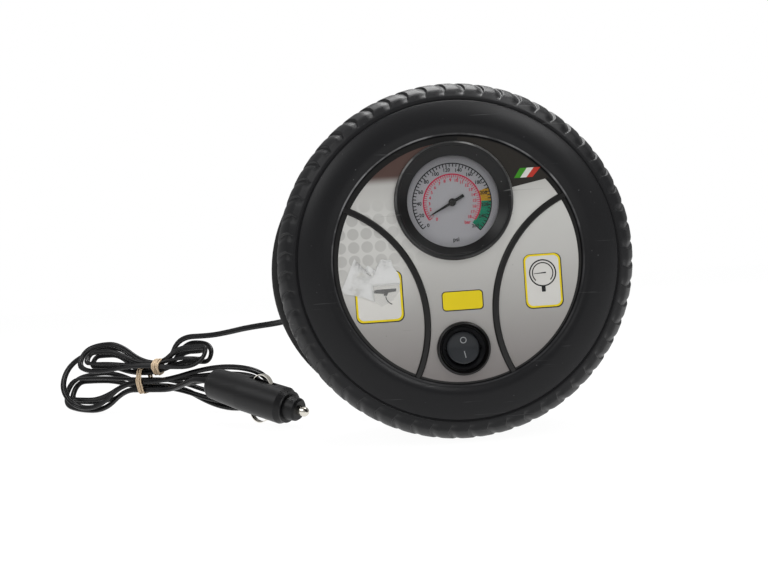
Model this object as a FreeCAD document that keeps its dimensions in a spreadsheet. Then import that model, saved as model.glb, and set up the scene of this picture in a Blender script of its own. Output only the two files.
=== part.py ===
import FreeCAD, Part
import math
import os
import Sketcher
from FreeCAD import Placement, Rotation, Vector

# Tyre inflator shaped like a small wheel. The row stands on its tread: +Z is up, the dial looks
# towards -Y, the wheel's axis runs along Y and the floor under the tread is z = 0. Sketched pieces
# are drawn face on: x to the right, y up and z towards the viewer, from the middle of the wheel.

doc = FreeCAD.newDocument("tyre_inflator")
sheet = doc.addObject("Spreadsheet::Sheet", "sizes")

SIZES = {
    # Wheel-shaped housing
    "tyre_radius": 85.0,
    "half_depth": 31.0,
    "crown_half": 13.0,
    "shoulder_radius": 78.6,
    "shoulder_drop": 5.0,
    "shoulder_bulge": 1.6,
    "tread_depth": 1.5,
    "tyre_wall": 2.1,
    "ring_groove_radius": 73.5,
    "ring_groove_half": 0.6,
    "ring_groove_depth": 0.9,
    "crest_radius": 61.3,
    "lip_radius": 58.2,
    "lip_drop": 1.3,
    "tread_count": 56.0,
    "slot_half_front": 1.2,
    "slot_half_back": 1.9,
    "slot_sweep": 8.0,
    "slot_reach": 24.2,
    "boss_circle": 66.0,
    "boss_radius": 3.6,
    "boss_count": 6.0,
    "screw_radius": 1.4,
    "screw_head": 2.7,
    "screw_head_thick": 1.6,
    # Storage channel and hub at the back
    "channel_outer": 69.8,
    "channel_inner": 46.4,
    "channel_depth": 11.5,
    "rim_outer": 74.0,
    "hub_drop": 3.0,
    "cover_radius": 43.0,
    "cover_thick": 1.8,
    "cover_ledge": 2.5,
    "vent_count": 9.0,
    "vent_pitch": 4.4,
    "vent_half": 0.9,
    "vent_length": 34.0,
    "cover_screw_circle": 38.6,
    "vent_x": 6.0,
    "vent_z": 6.0,
    "foot_height": 4.0,
    "foot_screw_radius": 1.35,
    "cover_screw_radius": 1.1,
    "upper_foot_x": -40.0,
    "upper_foot_z": 30.0,
    "lower_foot_x": -56.5,
    "lower_foot_z": -12.0,
    # Front panel
    "panel_radius": 56.6,
    "panel_drop": 3.0,
    "panel_thick": 2.4,
    "panel_ledge": 3.4,
    "panel_gap": 0.15,
    "label_thick": 0.4,
    "label_margin": 0.5,
    "label_gap": 0.2,
    "fit_gap": 0.05,
    "rib_centre_x": 72.8,
    "rib_centre_z": -26.3,
    "rib_radius": 57.2,
    "rib_half": 1.5,
    # Gauge
    "gauge_z": 27.0,
    "bezel_radius": 27.0,
    "bezel_height": 2.4,
    "bezel_crest": 25.3,
    "dial_window": 21.1,
    "dial_drop": 9.0,
    "gauge_case_radius": 23.6,
    "gauge_sleeve": 24.0,
    "lens_radius": 22.5,
    "dial_radius": 22.1,
    "bourdon_radius": 15.0,
    "bourdon_half": 1.6,
    "gauge_case_wall": 1.0,
    "gauge_case_back": 8.0,
    "lens_thick": 1.0,
    "lens_lift": 2.6,
    "dial_thick": 0.5,
    "needle_radius": 1.8,
    "needle_reach": 12.6,
    "needle_tail": 6.2,
    "needle_thick": 0.3,
    "needle_lift": 0.9,
    "needle_angle": 207.7,
    "needle_pin": 0.5,
    "movement_thick": 2.5,
    "movement_radius": 3.0,
    "movement_post": 3.5,
    # Rocker switch
    "switch_z": -40.5,
    "collar_radius": 12.1,
    "collar_height": 2.2,
    "collar_mouth": 10.4,
    "collar_sink": 1.1,
    "switch_bezel": 10.2,
    "switch_body_radius": 9.5,
    "switch_depth": 16.0,
    "rocker_ball": 7.6,
    "rocker_gap": 0.25,
    "rocker_sink": 1.5,
    "rocker_crown": 0.3,
    "rocker_pin": 1.2,
    "rocker_tilt": 9.0,
    # Pump
    "pump_y": 5.5,
    "motor_z": 18.0,
    "motor_radius": 12.2,
    "motor_length": 31.0,
    "can_wall": 1.0,
    "spigot_radius": 3.5,
    "magnet_thick": 2.2,
    "core_length": 19.0,
    "core_gap": 0.4,
    "commutator_radius": 3.2,
    "cap_thick": 3.0,
    "tab_length": 5.0,
    "tab_width": 2.8,
    "tab_thick": 0.6,
    "shaft_radius": 1.0,
    "pinion_reach": 11.5,
    "plate_x": -25.0,
    "plate_thick": 2.0,
    "plate_half": 11.0,
    "plate_top": 34.0,
    "tooth_module": 0.5,
    "tooth_height": 0.42,
    "backlash": 0.16,
    "pinion_teeth": 12.0,
    "gear_teeth": 60.0,
    "gear_width": 5.0,
    "gear_gap": 1.5,
    "spindle_radius": 2.0,
    "spindle_collar": 3.2,
    "running_gap": 0.05,
    "crank_radius": 4.0,
    "crank_pin_radius": 1.5,
    "rod_x": -40.5,
    "rod_length": 28.0,
    "rod_half": 2.0,
    "rod_web": 1.6,
    "rod_eye": 2.6,
    "rod_big_eye": 4.0,
    "wrist_pin_radius": 1.0,
    "wrist_pin_half": 4.5,
    "shelf_z": -18.5,
    "shelf_thick": 2.2,
    "bore_radius": 9.0,
    "cylinder_wall": 2.0,
    "cylinder_length": 27.7,
    "piston_gap": 0.1,
    "piston_wall": 1.5,
    "piston_top": -20.5,
    "piston_cavity": 14.7,
    "piston_crown": 2.5,
    "seal_thick": 1.4,
    "seal_depth": 1.2,
    "seal_gap": 0.03,
    "gasket_thick": 0.5,
    "head_height": 8.3,
    "head_half": 13.0,
    "bolt_x": 11.0,
    "bolt_y": 8.6,
    "bolt_radius": 1.2,
    "bolt_head": 1.6,
    "port_radius": 1.5,
    "port_length": 3.0,
    "chamber_radius": 4.2,
    "valve_thick": 0.8,
    "valve_cap_thick": 1.2,
    # Air line
    "tee_x": -10.0,
    "tee_z": -52.0,
    "tee_half": 4.0,
    "tube_radius": 2.5,
    "barb_radius": 1.35,
    "barb_bore": 0.7,
    "barb_length": 6.0,
    "elbow_z": -7.0,
    "elbow_inner_y": 9.0,
    "elbow_flange": 6.0,
    # Hose and chuck
    "hose_radius": 4.0,
    "hose_bore": 2.0,
    "hose_track": 58.0,
    "hose_y": 25.2,
    "chuck_radius": 6.0,
    "chuck_length": 24.0,
    "chuck_bore": 4.4,
    "chuck_bore_depth": 9.0,
    "chuck_track": 55.0,
    "chuck_angle": -30.0,
    "chuck_tilt": -5.0,
    "chuck_y": 34.0,
    "seal_length": 4.0,
    "seal_seat": 3.6,
    "seal_bore": 1.8,
    "ferrule_length": 7.0,
    "ferrule_radius": 5.0,
    "hinge_z": 19.0,
    "hinge_rise": 8.6,
    "ear_half": 2.2,
    "ear_thick": 1.5,
    "ear_top": 1.9,
    "ear_gap": 0.25,
    "lever_pin_radius": 1.0,
    "lever_eye": 2.0,
    "lever_length": 28.0,
    "lever_thick": 1.6,
    "lever_width": 5.6,
    # Supply lead and plug
    "lead_radius": 1.7,
    "wire_radius": 0.8,
    "gland_x": -28.0,
    "gland_z": -13.0,
    "gland_tilt": 35.0,
    "gland_drop": 12.0,
    "spout_radius": 5.6,
    "spout_length": 8.0,
    "gland_length": 20.0,
    "gland_flange": 5.2,
    "gland_root": 3.8,
    "gland_tip": 2.6,
    "hank_x": -202.0,
    "hank_y": 110.0,
    "hank_height": 25.0,
    "hank_heading": -20.0,
    "waist_step": 5.35,
    "band_width": 5.0,
    "band_thick": 0.9,
    "plug_x": -143.2,
    "plug_y": 64.0,
    "plug_rise": 23.7,
    "plug_heading": -29.5,
    "plug_dip": 12.1,
    "plug_radius": 10.5,
    "plug_rear_radius": 9.4,
    "plug_body_length": 60.0,
    "nose_radius": 7.2,
    "nose_length": 7.0,
    "plug_tip_radius": 2.7,
    "plug_tip_reach": 6.0,
    "plug_tip_travel": 3.0,
    "spring_radius": 2.4,
    "spring_wire": 0.3,
    "spring_closed": 4.0,
    "fuse_radius": 3.2,
    "fuse_foot": 8.0,
    "fuse_cap": 5.0,
    "contact_z": 32.5,
    "contact_length": 13.0,
    "contact_width": 3.0,
    "contact_depth": 3.0,
    "contact_thick": 0.5,
    "contact_bow": 3.8,
}

for row, (alias, value) in enumerate(SIZES.items(), start=1):
    sheet.set(f"A{row}", alias)
    sheet.set(f"B{row}", str(value))
    sheet.setAlias(f"B{row}", alias)
doc.recompute()


class Size:
    """A length, angle or count that keeps its value and the sheet formula behind it."""

    def __init__(self, value, text=None):
        self.value = float(value)
        self.text = text or f"({float(value)!r})"

    @property
    def tied(self):
        return "sizes." in self.text

    def __add__(self, other):
        return join(self, other, "+", self.value + as_size(other).value)

    def __radd__(self, other):
        return as_size(other) + self

    def __sub__(self, other):
        return join(self, other, "-", self.value - as_size(other).value)

    def __rsub__(self, other):
        return as_size(other) - self

    def __mul__(self, other):
        return join(self, other, "*", self.value * as_size(other).value)

    def __rmul__(self, other):
        return as_size(other) * self

    def __truediv__(self, other):
        return join(self, other, "/", self.value / as_size(other).value)

    def __neg__(self):
        return Size(-self.value, f"(0 - {self.text})")

    def __float__(self):
        return self.value


def as_size(item):
    return item if isinstance(item, Size) else Size(item)


def join(first, second, sign, value):
    return Size(value, f"({as_size(first).text} {sign} {as_size(second).text})")


class Sheet:
    """The sheet's cells by name."""

    def __init__(self):
        for alias in SIZES:
            setattr(self, alias, Size(sheet.get(alias), f"sizes.{alias}"))


s = Sheet()

FACE_ON = Rotation(Vector(1, 0, 0), 90)
ALONG = {
    "x": Rotation(Vector(0, 1, 0), 90),
    "-x": Rotation(Vector(0, 1, 0), -90),
    "y": Rotation(Vector(1, 0, 0), -90),
    "-y": Rotation(Vector(1, 0, 0), 90),
    "z": Rotation(),
    "-z": Rotation(Vector(1, 0, 0), 180),
}
PIECES = []


def drive(item, name, amount):
    """Give a property its size, tied to the sheet where the size comes from there."""
    amount = as_size(amount)
    if amount.tied:
        item.setExpression(name, amount.text)
    elif isinstance(getattr(item, name), int):
        setattr(item, name, round(amount.value))
    else:
        setattr(item, name, amount.value)


def put(item, at, turn=None):
    """Place an object; heights are measured from the middle of the wheel."""
    spot = [as_size(at[0]), as_size(at[1]), as_size(at[2]) + s.tyre_radius]
    item.Placement = Placement(Vector(*(part.value for part in spot)), turn or Rotation())
    for letter, part in zip("xyz", spot):
        if part.tied:
            item.setExpression(f"Placement.Base.{letter}", part.text)
    return item


def keep(item, label):
    """Name an object as one of the finished pieces."""
    item.Label = label
    PIECES.append(item)
    return item


def cylinder(name, radius, length, at, along="z"):
    item = doc.addObject("Part::Cylinder", name)
    drive(item, "Radius", radius)
    drive(item, "Height", length)
    return put(item, at, ALONG[along])


def block(name, width, depth, height, at):
    """A box given by its size and its lowest corner."""
    item = doc.addObject("Part::Box", name)
    drive(item, "Length", width)
    drive(item, "Width", depth)
    drive(item, "Height", height)
    return put(item, at)


def fuse(name, *items):
    item = doc.addObject("Part::MultiFuse", name)
    item.Shapes = list(items)
    return item


def common(name, *items):
    item = doc.addObject("Part::MultiCommon", name)
    item.Shapes = list(items)
    return item


def cut(name, base, *tools):
    item = doc.addObject("Part::Cut", name)
    item.Base = base
    item.Tool = tools[0] if len(tools) == 1 else fuse(name + "_tools", *tools)
    return item


def body(name, at=(0, 0, 0), turn=FACE_ON):
    return put(doc.addObject("PartDesign::Body", name), at, turn)


def origin_of(owner, role):
    return next(item for item in owner.Origin.OriginFeatures if item.Role == role)


def sketch(owner, name, role="XY_Plane", lift=0):
    item = owner.newObject("Sketcher::SketchObject", name)
    item.AttachmentSupport = [(origin_of(owner, role), "")]
    item.MapMode = "FlatFace"
    item.AttachmentOffset = Placement(Vector(0, 0, float(lift)), Rotation())
    if as_size(lift).tied:
        item.setExpression("AttachmentOffset.Base.z", lift.text)
    return item


def pin_point(item, geometry, end, x, y):
    """Fix a point of a sketch at its distances from the sketch's origin."""
    for kind, amount in (("DistanceX", as_size(x)), ("DistanceY", as_size(y))):
        index = item.addConstraint(Sketcher.Constraint(kind, -1, 1, geometry, end, amount.value))
        if amount.tied:
            item.setExpression(f"Constraints[{index}]", amount.text)


def circle(item, x, y, radius):
    x, y, radius = as_size(x), as_size(y), as_size(radius)
    place = Vector(x.value, y.value, 0)
    index = item.addGeometry(Part.Circle(place, Vector(0, 0, 1), radius.value), False)
    pin_point(item, index, 3, x, y)
    bound = item.addConstraint(Sketcher.Constraint("Radius", index, radius.value))
    if radius.tied:
        item.setExpression(f"Constraints[{bound}]", radius.text)


def outline(item, corners):
    """Draw a closed outline. A corner is (x, y), or (x, y, via_x, via_y) where an arc that passes
    the second point leads on to the next corner."""
    spots = [Vector(float(corner[0]), float(corner[1]), 0) for corner in corners]
    joints = []
    arcs = []
    for number, corner in enumerate(corners):
        start, end = spots[number], spots[(number + 1) % len(spots)]
        if len(corner) == 2:
            index = item.addGeometry(Part.LineSegment(start, end), False)
            joints.append((index, 1, 2))
            continue
        via = Vector(float(corner[2]), float(corner[3]), 0)
        leftwards = (via - start).cross(end - via).z > 0
        arc = Part.Arc(start, via, end) if leftwards else Part.Arc(end, via, start)
        index = item.addGeometry(arc, False)
        joints.append((index, 1, 2) if leftwards else (index, 2, 1))
        arcs.append((index, corner[2], corner[3], via))
    for number, (index, first, last) in enumerate(joints):
        following = joints[(number + 1) % len(joints)]
        item.addConstraint(Sketcher.Constraint("Coincident", index, last, following[0], following[1]))
        pin_point(item, index, first, corners[number][0], corners[number][1])
    for index, x, y, via in arcs:
        mark = item.addGeometry(Part.Point(via), True)
        pin_point(item, mark, 1, x, y)
        item.addConstraint(Sketcher.Constraint("PointOnObject", mark, 1, index))


def draw(item, shapes):
    for shape in shapes:
        if shape[0] == "circle":
            circle(item, *shape[1:])
        else:
            outline(item, shape)


def spin(owner, name, corners):
    """Turn an outline of (radius, height) corners about the body's own z axis."""
    profile = sketch(owner, name + "_outline", "XZ_Plane")
    outline(profile, corners)
    feature = owner.newObject("PartDesign::Revolution", name)
    feature.Profile = profile
    feature.ReferenceAxis = (profile, ["V_Axis"])
    feature.Angle = 360
    owner.Tip = feature
    return feature


def pad(owner, name, shapes, low, length, role="XY_Plane"):
    profile = sketch(owner, name + "_outline", role, low)
    draw(profile, shapes)
    feature = owner.newObject("PartDesign::Pad", name)
    feature.Profile = profile
    drive(feature, "Length", length)
    owner.Tip = feature
    return feature


def pocket(owner, name, shapes, top, depth, role="XY_Plane"):
    """Cut from `top` back towards the sketch plane's far side."""
    profile = sketch(owner, name + "_outline", role, top)
    draw(profile, shapes)
    feature = owner.newObject("PartDesign::Pocket", name)
    feature.Profile = profile
    drive(feature, "Length", depth)
    owner.Tip = feature
    return feature


def around(owner, feature, count):
    """Repeat a feature evenly about the body's z axis."""
    pattern = owner.newObject("PartDesign::PolarPattern", feature.Name + "_around")
    pattern.Originals = [feature]
    pattern.Axis = (origin_of(owner, "Z_Axis"), [""])
    pattern.Angle = 360
    drive(pattern, "Occurrences", count)
    owner.Tip = pattern
    return pattern


def turned(label, corners, at=(0, 0, 0), turn=FACE_ON):
    owner = body(label, at, turn)
    spin(owner, label + "_turn", corners)
    return owner


# Tyre-shaped housing. Both halves share one outline; the back half is the same outline mirrored up
# to the shoulder, and ends in the rim of the storage channel.

R = s.tyre_radius
H = s.half_depth
INNER = R - s.tread_depth - s.tyre_wall


def shoulder(side, inset):
    """The tread's outline from the parting plane to the shoulder, drawn in by `inset`."""
    crown = s.crown_half * side
    foot = (H - s.shoulder_drop - inset) * side
    middle = (crown + foot) / 2
    middle_radius = (R + s.shoulder_radius) / 2 + s.shoulder_bulge - inset
    return [
        (R - inset, 0),
        (R - inset, crown, middle_radius, middle),
        (s.shoulder_radius - inset * 0.7, foot),
    ]


rim_bore = s.panel_radius + s.panel_gap
seat = H - s.panel_drop - s.panel_thick
groove_edge = s.ring_groove_radius + s.ring_groove_half
crest_run = (s.ring_groove_radius + s.crest_radius) / 2

front_blank = body("front_tyre_blank")
spin(front_blank, "front_tyre_turn", shoulder(1, 0) + [
    (groove_edge, H - s.panel_drop),
    (s.ring_groove_radius, H - s.panel_drop - s.ring_groove_depth),
    (s.ring_groove_radius - s.ring_groove_half, H - s.panel_drop + 0.2, crest_run, H - 0.7),
    (s.crest_radius, H, (s.crest_radius + s.lip_radius) / 2, H - s.lip_drop * 0.3),
    (s.lip_radius, H - s.lip_drop),
    (rim_bore, H - s.lip_drop - 0.4),
    (rim_bore, seat),
    (rim_bore - s.panel_ledge, seat),
    (rim_bore - s.panel_ledge, seat - s.tyre_wall),
    (rim_bore + s.tyre_wall, seat - s.tyre_wall),
    (rim_bore + s.tyre_wall + 1.2, H - s.tyre_wall - 0.6, crest_run, H - 0.7 - s.tyre_wall),
    (s.ring_groove_radius - 1.2, H - s.panel_drop - s.tyre_wall - 0.4),
    (s.shoulder_radius - s.tyre_wall - 0.8, H - s.shoulder_drop - s.tyre_wall,
     (INNER + s.shoulder_radius) / 2 - 0.4, (s.crown_half + H - s.shoulder_drop) / 2 - 1.0),
    (INNER, s.crown_half),
    (INNER, 0),
])
front_boss = pad(front_blank, "front_boss", [("circle", 0, s.boss_circle, s.boss_radius)], 0, H - 2.4)
around(front_blank, front_boss, s.boss_count)
front_hole = pocket(front_blank, "front_boss_hole",
                    [("circle", 0, s.boss_circle, s.screw_radius)], 14, 14)
around(front_blank, front_hole, s.boss_count)

floor = -(H - s.channel_depth)
floor_inside = floor + s.tyre_wall
hub_face = -(H - s.hub_drop)
ledge_face = hub_face + s.cover_thick
back_blank = body("rear_tyre_blank")
spin(back_blank, "rear_tyre_turn", shoulder(-1, 0) + [
    (s.rim_outer, -(H - 1.2), s.rim_outer - 0.5, -(H - 0.35)),
    (s.rim_outer - 1.4, -H),
    (s.channel_outer, -H),
    (s.channel_outer, floor),
    (s.channel_inner, floor),
    (s.channel_inner, hub_face),
    (s.cover_radius + 0.2, hub_face),
    (s.cover_radius + 0.2, ledge_face),
    (s.cover_radius - s.cover_ledge, ledge_face),
    (s.cover_radius - s.cover_ledge, ledge_face + s.tyre_wall),
    (s.channel_inner - s.tyre_wall, ledge_face + s.tyre_wall),
    (s.channel_inner - s.tyre_wall, floor_inside),
    (s.channel_outer + s.tyre_wall, floor_inside),
    (s.channel_outer + s.tyre_wall, -(H - s.tyre_wall - 0.8)),
    (s.shoulder_radius - s.tyre_wall - 0.8, -(H - s.shoulder_drop - s.tyre_wall),
     (INNER + s.shoulder_radius) / 2 - 0.4, -(s.crown_half + H - s.shoulder_drop) / 2 + 1.0),
    (INNER, -s.crown_half),
    (INNER, 0),
])
back_boss = pad(back_blank, "rear_boss", [("circle", 0, s.boss_circle, s.boss_radius)],
                floor_inside - 0.5, -floor_inside + 0.5)
around(back_blank, back_boss, s.boss_count)
back_hole = pocket(back_blank, "rear_boss_hole",
                   [("circle", 0, s.boss_circle, s.screw_radius + 0.15)], 0, H)
around(back_blank, back_hole, s.boss_count)
back_seat = pocket(back_blank, "rear_boss_seat",
                   [("circle", 0, s.boss_circle, s.screw_head + 0.2)], floor + s.screw_head_thick, 3)
around(back_blank, back_seat, s.boss_count)


def tread_cutter(name, side):
    """One swept groove of the tread: the tread's skin where a narrow slot with a round front end
    passes through it."""
    skin = body(name + "_skin")
    spin(skin, name + "_skin_turn", shoulder(side, s.tread_depth) + [
        (R + 4, (H - s.shoulder_drop) * side),
        (R + 4, -1 * side),
        (R - s.tread_depth, -1 * side),
    ])
    slot = body(name + "_slot", (0, 0, 0), Rotation())
    half_front, half_back, sweep = s.slot_half_front, s.slot_half_back, s.slot_sweep
    profile = [
        (half_front - sweep / 2, -s.slot_reach * side, -sweep / 2, -(s.slot_reach + half_front) * side),
        (-half_front - sweep / 2, -s.slot_reach * side),
        (sweep / 2 - half_back, 1 * side),
        (sweep / 2 + half_back, 1 * side),
    ]
    pad(slot, name + "_slot_pad", [profile], -(R + 3), 16)
    return common(name + "_tool", skin, slot)


def copies_around(name, tool, count, share=0):
    """Copies of one shape all round the wheel's axis, turned on by a share of their pitch."""
    count = round(float(count))
    centre = Vector(0, 0, float(R))
    copies = []
    for number in range(count):
        copy = tool.Shape.copy()
        copy.rotate(centre, Vector(0, 1, 0), 360 / count * (number + share))
        copies.append(copy)
    item = doc.addObject("Part::Feature", name)
    item.Shape = Part.makeCompound(copies)
    return item


# Bosses inside the rear half that carry the pump's bracket, and posts for the cover's screws.
pad(back_blank, "foot_bosses", [
    ("circle", s.upper_foot_x, s.upper_foot_z, s.boss_radius),
    ("circle", s.lower_foot_x, s.lower_foot_z, s.boss_radius),
], floor_inside - 0.5, s.foot_height + 0.5)
pocket(back_blank, "foot_boss_holes", [
    ("circle", s.upper_foot_x, s.upper_foot_z, s.foot_screw_radius),
    ("circle", s.lower_foot_x, s.lower_foot_z, s.foot_screw_radius),
], floor_inside + s.foot_height + 1, s.foot_height + 1.2)
cover_post = pad(back_blank, "cover_post", [("circle", 0, -s.cover_screw_circle, s.boss_radius)],
                 ledge_face, 9)
around(back_blank, cover_post, 3)
cover_hole = pocket(back_blank, "cover_post_hole",
                    [("circle", 0, -s.cover_screw_circle, s.cover_screw_radius)], ledge_face + 7, 9)
around(back_blank, cover_hole, 3)
elbow_hole = cylinder("elbow_hole", s.barb_radius + 1.8 + s.fit_gap, 8,
                      (s.hose_track, -floor_inside - 3, s.elbow_z), "y")

front_groove = tread_cutter("front_groove", 1)
back_groove = tread_cutter("rear_groove", -1)
doc.recompute()
front_shell = cut("front_tyre_shell", front_blank,
                  copies_around("front_grooves", front_groove, s.tread_count))
keep(front_shell, "front_tyre_shell")
back_shell = cut("rear_tyre_shell", back_blank,
                 copies_around("rear_grooves", back_groove, s.tread_count, 0.5), elbow_hole)
keep(back_shell, "rear_tyre_shell")


def screw(name, head_radius, head_thick, shank, length, at, along):
    """A pan-headed screw with its head's underside at `at` and a cross recess in the head."""
    owner = body(name, at, along)
    spin(owner, name + "_turn", [
        (0, -length), (shank * 0.4, -length), (shank, -length + 1.4), (shank, 0), (head_radius, 0),
        (head_radius, head_thick * 0.45, head_radius * 0.86, head_thick * 0.86),
        (head_radius * 0.55, head_thick), (0, head_thick),
    ])
    arm, slim = head_radius * 0.55, head_radius * 0.12
    pocket(owner, name + "_cross", [[
        (slim, slim), (slim, arm), (-slim, arm), (-slim, slim), (-arm, slim), (-arm, -slim),
        (-slim, -slim), (-slim, -arm), (slim, -arm), (slim, -slim), (arm, -slim), (arm, slim),
    ]], head_thick + 0.1, head_thick * 0.6)
    return owner


BACKWARD = ALONG["y"]
housing_screw = screw("housing_screw", s.screw_head, s.screw_head_thick, s.screw_radius, 27,
                      (0, -(floor + s.screw_head_thick), s.boss_circle), BACKWARD)
cover_screw = screw("cover_screw", s.screw_head - 0.4, 1.3, s.cover_screw_radius, 6.5,
                    (0, -hub_face, -s.cover_screw_circle), BACKWARD)
doc.recompute()
keep(doc.addObject("Part::Compound", "case_screws"), "case_screws").Links = [
    copies_around("housing_screws", housing_screw, s.boss_count),
    copies_around("cover_screws", cover_screw, 3),
]

# Back cover in the hub, with cooling slots and a spout for the supply lead.
cover_plate = body("cover_plate")
pad(cover_plate, "cover_disc", [("circle", 0, 0, s.cover_radius)], hub_face, s.cover_thick)
vents = []
for number in range(int(SIZES["vent_count"])):
    z = s.vent_pitch * (number - (SIZES["vent_count"] - 1) / 2) + s.vent_z
    left, right = s.vent_x - s.vent_length / 2, s.vent_x + s.vent_length / 2
    vents.append([
        (left, z + s.vent_half, left - s.vent_half, z), (left, z - s.vent_half),
        (right, z - s.vent_half, right + s.vent_half, z), (right, z + s.vent_half),
    ])
pocket(cover_plate, "cover_vents", vents, ledge_face + 1, s.cover_thick + 2)
cover_holes = pocket(cover_plate, "cover_screw_hole",
                     [("circle", 0, -s.cover_screw_circle, s.cover_screw_radius + 0.2)], ledge_face + 1, 4)
around(cover_plate, cover_holes, 3)

# The supply lead's spout, gland and lead share one slanted line out of the back cover.
tilt, drop = math.radians(SIZES["gland_tilt"]), math.radians(SIZES["gland_drop"])
GLAND_WAY = Vector(-math.cos(tilt) * math.cos(drop), math.sin(tilt), -math.cos(tilt) * math.sin(drop))
GLAND_TURN = Rotation(Vector(0, 0, 1), GLAND_WAY)
gland_at = (s.gland_x, -hub_face, s.gland_z)


def gland_piece(kind, name, low, length, *radii):
    """A round piece on the gland's line, from `low` to `low + length` along it."""
    item = doc.addObject(f"Part::{kind}", name)
    for prop, radius in zip(("Radius",) if kind == "Cylinder" else ("Radius1", "Radius2"), radii):
        drive(item, prop, radius)
    drive(item, "Height", length)
    return put(item, tuple(place + low * part for place, part in zip(gland_at, GLAND_WAY)), GLAND_TURN)


spout = gland_piece("Cylinder", "spout", -1, s.spout_length + 1, s.spout_radius)
spout_bore = gland_piece("Cylinder", "spout_bore", -12, s.spout_length + 20, s.gland_root + 0.02)
behind_cover = cylinder("behind_cover", s.cover_radius, 12, (0, -ledge_face - 12, 0), "y")
spout_above = cut("spout_above_cover", spout, behind_cover)
beyond_rim = cylinder("beyond_rim", s.cover_radius, 12, (0, H, 0), "y")
keep(cut("rear_cover", fuse("cover_with_spout", cover_plate, spout_above), spout_bore, beyond_rim),
     "rear_cover")

gland_parts = [
    gland_piece("Cylinder", "gland_sleeve", -2, s.spout_length + 2, s.gland_root),
    gland_piece("Cone", "gland_boot", s.spout_length, s.gland_length, s.gland_flange, s.gland_tip),
]
keep(fuse("cord_gland", *gland_parts), "cord_gland")

# Front panel: a disc with the two curved ribs and the switch's collar moulded on.
front = H - s.panel_drop
panel_disc = body("panel_disc")
pad(panel_disc, "panel_disc_pad", [
    ("circle", 0, 0, s.panel_radius),
    ("circle", 0, s.gauge_z, s.gauge_sleeve + s.fit_gap),
    ("circle", 0, s.switch_z, s.collar_radius - 1.2),
], seat, s.panel_thick)
collar = turned("switch_collar", [
    (s.collar_radius, seat),
    (s.collar_radius, front + s.collar_height - 0.9, s.collar_radius - 0.25,
     front + s.collar_height - 0.25),
    (s.collar_radius - 0.9, front + s.collar_height),
    (s.collar_mouth, front - s.collar_sink),
    (s.switch_body_radius + s.fit_gap, front - s.collar_sink),
    (s.switch_body_radius + s.fit_gap, seat),
], (0, 0, s.switch_z))


def rib(name, side):
    """A raised half-round rib along a circle whose middle lies out at one side of the panel."""
    ring = doc.addObject("Part::Torus", name + "_ring")
    drive(ring, "Radius1", s.rib_radius)
    drive(ring, "Radius2", s.rib_half)
    put(ring, (s.rib_centre_x * side, -front, s.rib_centre_z), FACE_ON)
    return common(name, ring, panel_reach, panel_reach_twin)


panel_reach = cylinder("panel_reach", s.panel_radius, 4, (0, -seat - 3.6, 0), "y")
panel_reach_twin = cylinder("panel_reach_twin", s.panel_radius, 9, (0, -seat - 7, 0), "y")
ribs = [rib("left_rib", -1), rib("right_rib", 1)]
gauge_well = cylinder("gauge_well", s.gauge_sleeve + s.fit_gap, 12, (0, -H - 2, s.gauge_z), "y")
keep(cut("front_panel", fuse("panel_with_ribs", panel_disc, collar, *ribs), gauge_well), "front_panel")


def face_disc(name, radius, x=0, z=0):
    """A disc as thick as a label, lying on the panel's front face."""
    return cylinder(name, radius, s.label_thick, (x, -front - s.label_thick, z), "y")


label_field = s.panel_radius - s.label_margin
rib_clear = s.rib_half + s.fit_gap
gauge_clear = s.bezel_radius + s.label_gap
left_inner = face_disc("left_rib_inside", s.rib_radius - rib_clear, -s.rib_centre_x, s.rib_centre_z)
left_outer = face_disc("left_rib_outside", s.rib_radius + rib_clear, -s.rib_centre_x, s.rib_centre_z)
right_inner = face_disc("right_rib_inside", s.rib_radius - rib_clear, s.rib_centre_x, s.rib_centre_z)
right_outer = face_disc("right_rib_outside", s.rib_radius + rib_clear, s.rib_centre_x, s.rib_centre_z)


def label(name, field, *openings):
    keep(cut(name, field, *openings), name)


label("left_label", common("left_field", face_disc("left_disc", label_field), left_inner),
      face_disc("left_gauge_gap", gauge_clear, 0, s.gauge_z))
label("right_label", common("right_field", face_disc("right_disc", label_field), right_inner),
      face_disc("right_gauge_gap", gauge_clear, 0, s.gauge_z))
label("centre_label", face_disc("centre_disc", label_field), left_outer, right_outer,
      face_disc("centre_gauge_gap", gauge_clear, 0, s.gauge_z),
      face_disc("centre_switch_gap", s.collar_radius + s.label_gap, 0, s.switch_z))

# Pressure gauge: case, dial, needle and lens under a funnel-shaped bezel.
dial_face = H - s.dial_drop
lens_foot = dial_face + s.lens_lift
gauge_at = (0, 0, s.gauge_z)
keep(turned("gauge_bezel", [
    (s.bezel_radius, front),
    (s.bezel_radius, front + s.bezel_height - 1.2, s.bezel_radius - 0.3, front + s.bezel_height - 0.35),
    (s.bezel_crest + 0.6, front + s.bezel_height, s.bezel_crest, front + s.bezel_height - 0.1),
    (s.bezel_crest - 0.5, front + s.bezel_height - 0.6),
    (s.dial_window, lens_foot + s.lens_thick + 0.8),
    (s.dial_window, lens_foot + s.lens_thick),
    (s.lens_radius + s.fit_gap, lens_foot + s.lens_thick),
    (s.lens_radius + s.fit_gap, lens_foot),
    (s.gauge_sleeve, lens_foot),
    (s.gauge_sleeve, front),
], gauge_at), "gauge_bezel")
keep(turned("gauge_lens", [
    (0, lens_foot), (s.lens_radius, lens_foot), (s.lens_radius, lens_foot + s.lens_thick),
    (0, lens_foot + s.lens_thick),
], gauge_at), "gauge_lens")
keep(turned("gauge_dial", [
    (s.needle_pin + 0.3, dial_face - s.dial_thick), (s.dial_radius, dial_face - s.dial_thick),
    (s.dial_radius, dial_face), (s.needle_pin + 0.3, dial_face),
], gauge_at), "gauge_dial")
case_bore = s.lens_radius - 0.3
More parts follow.
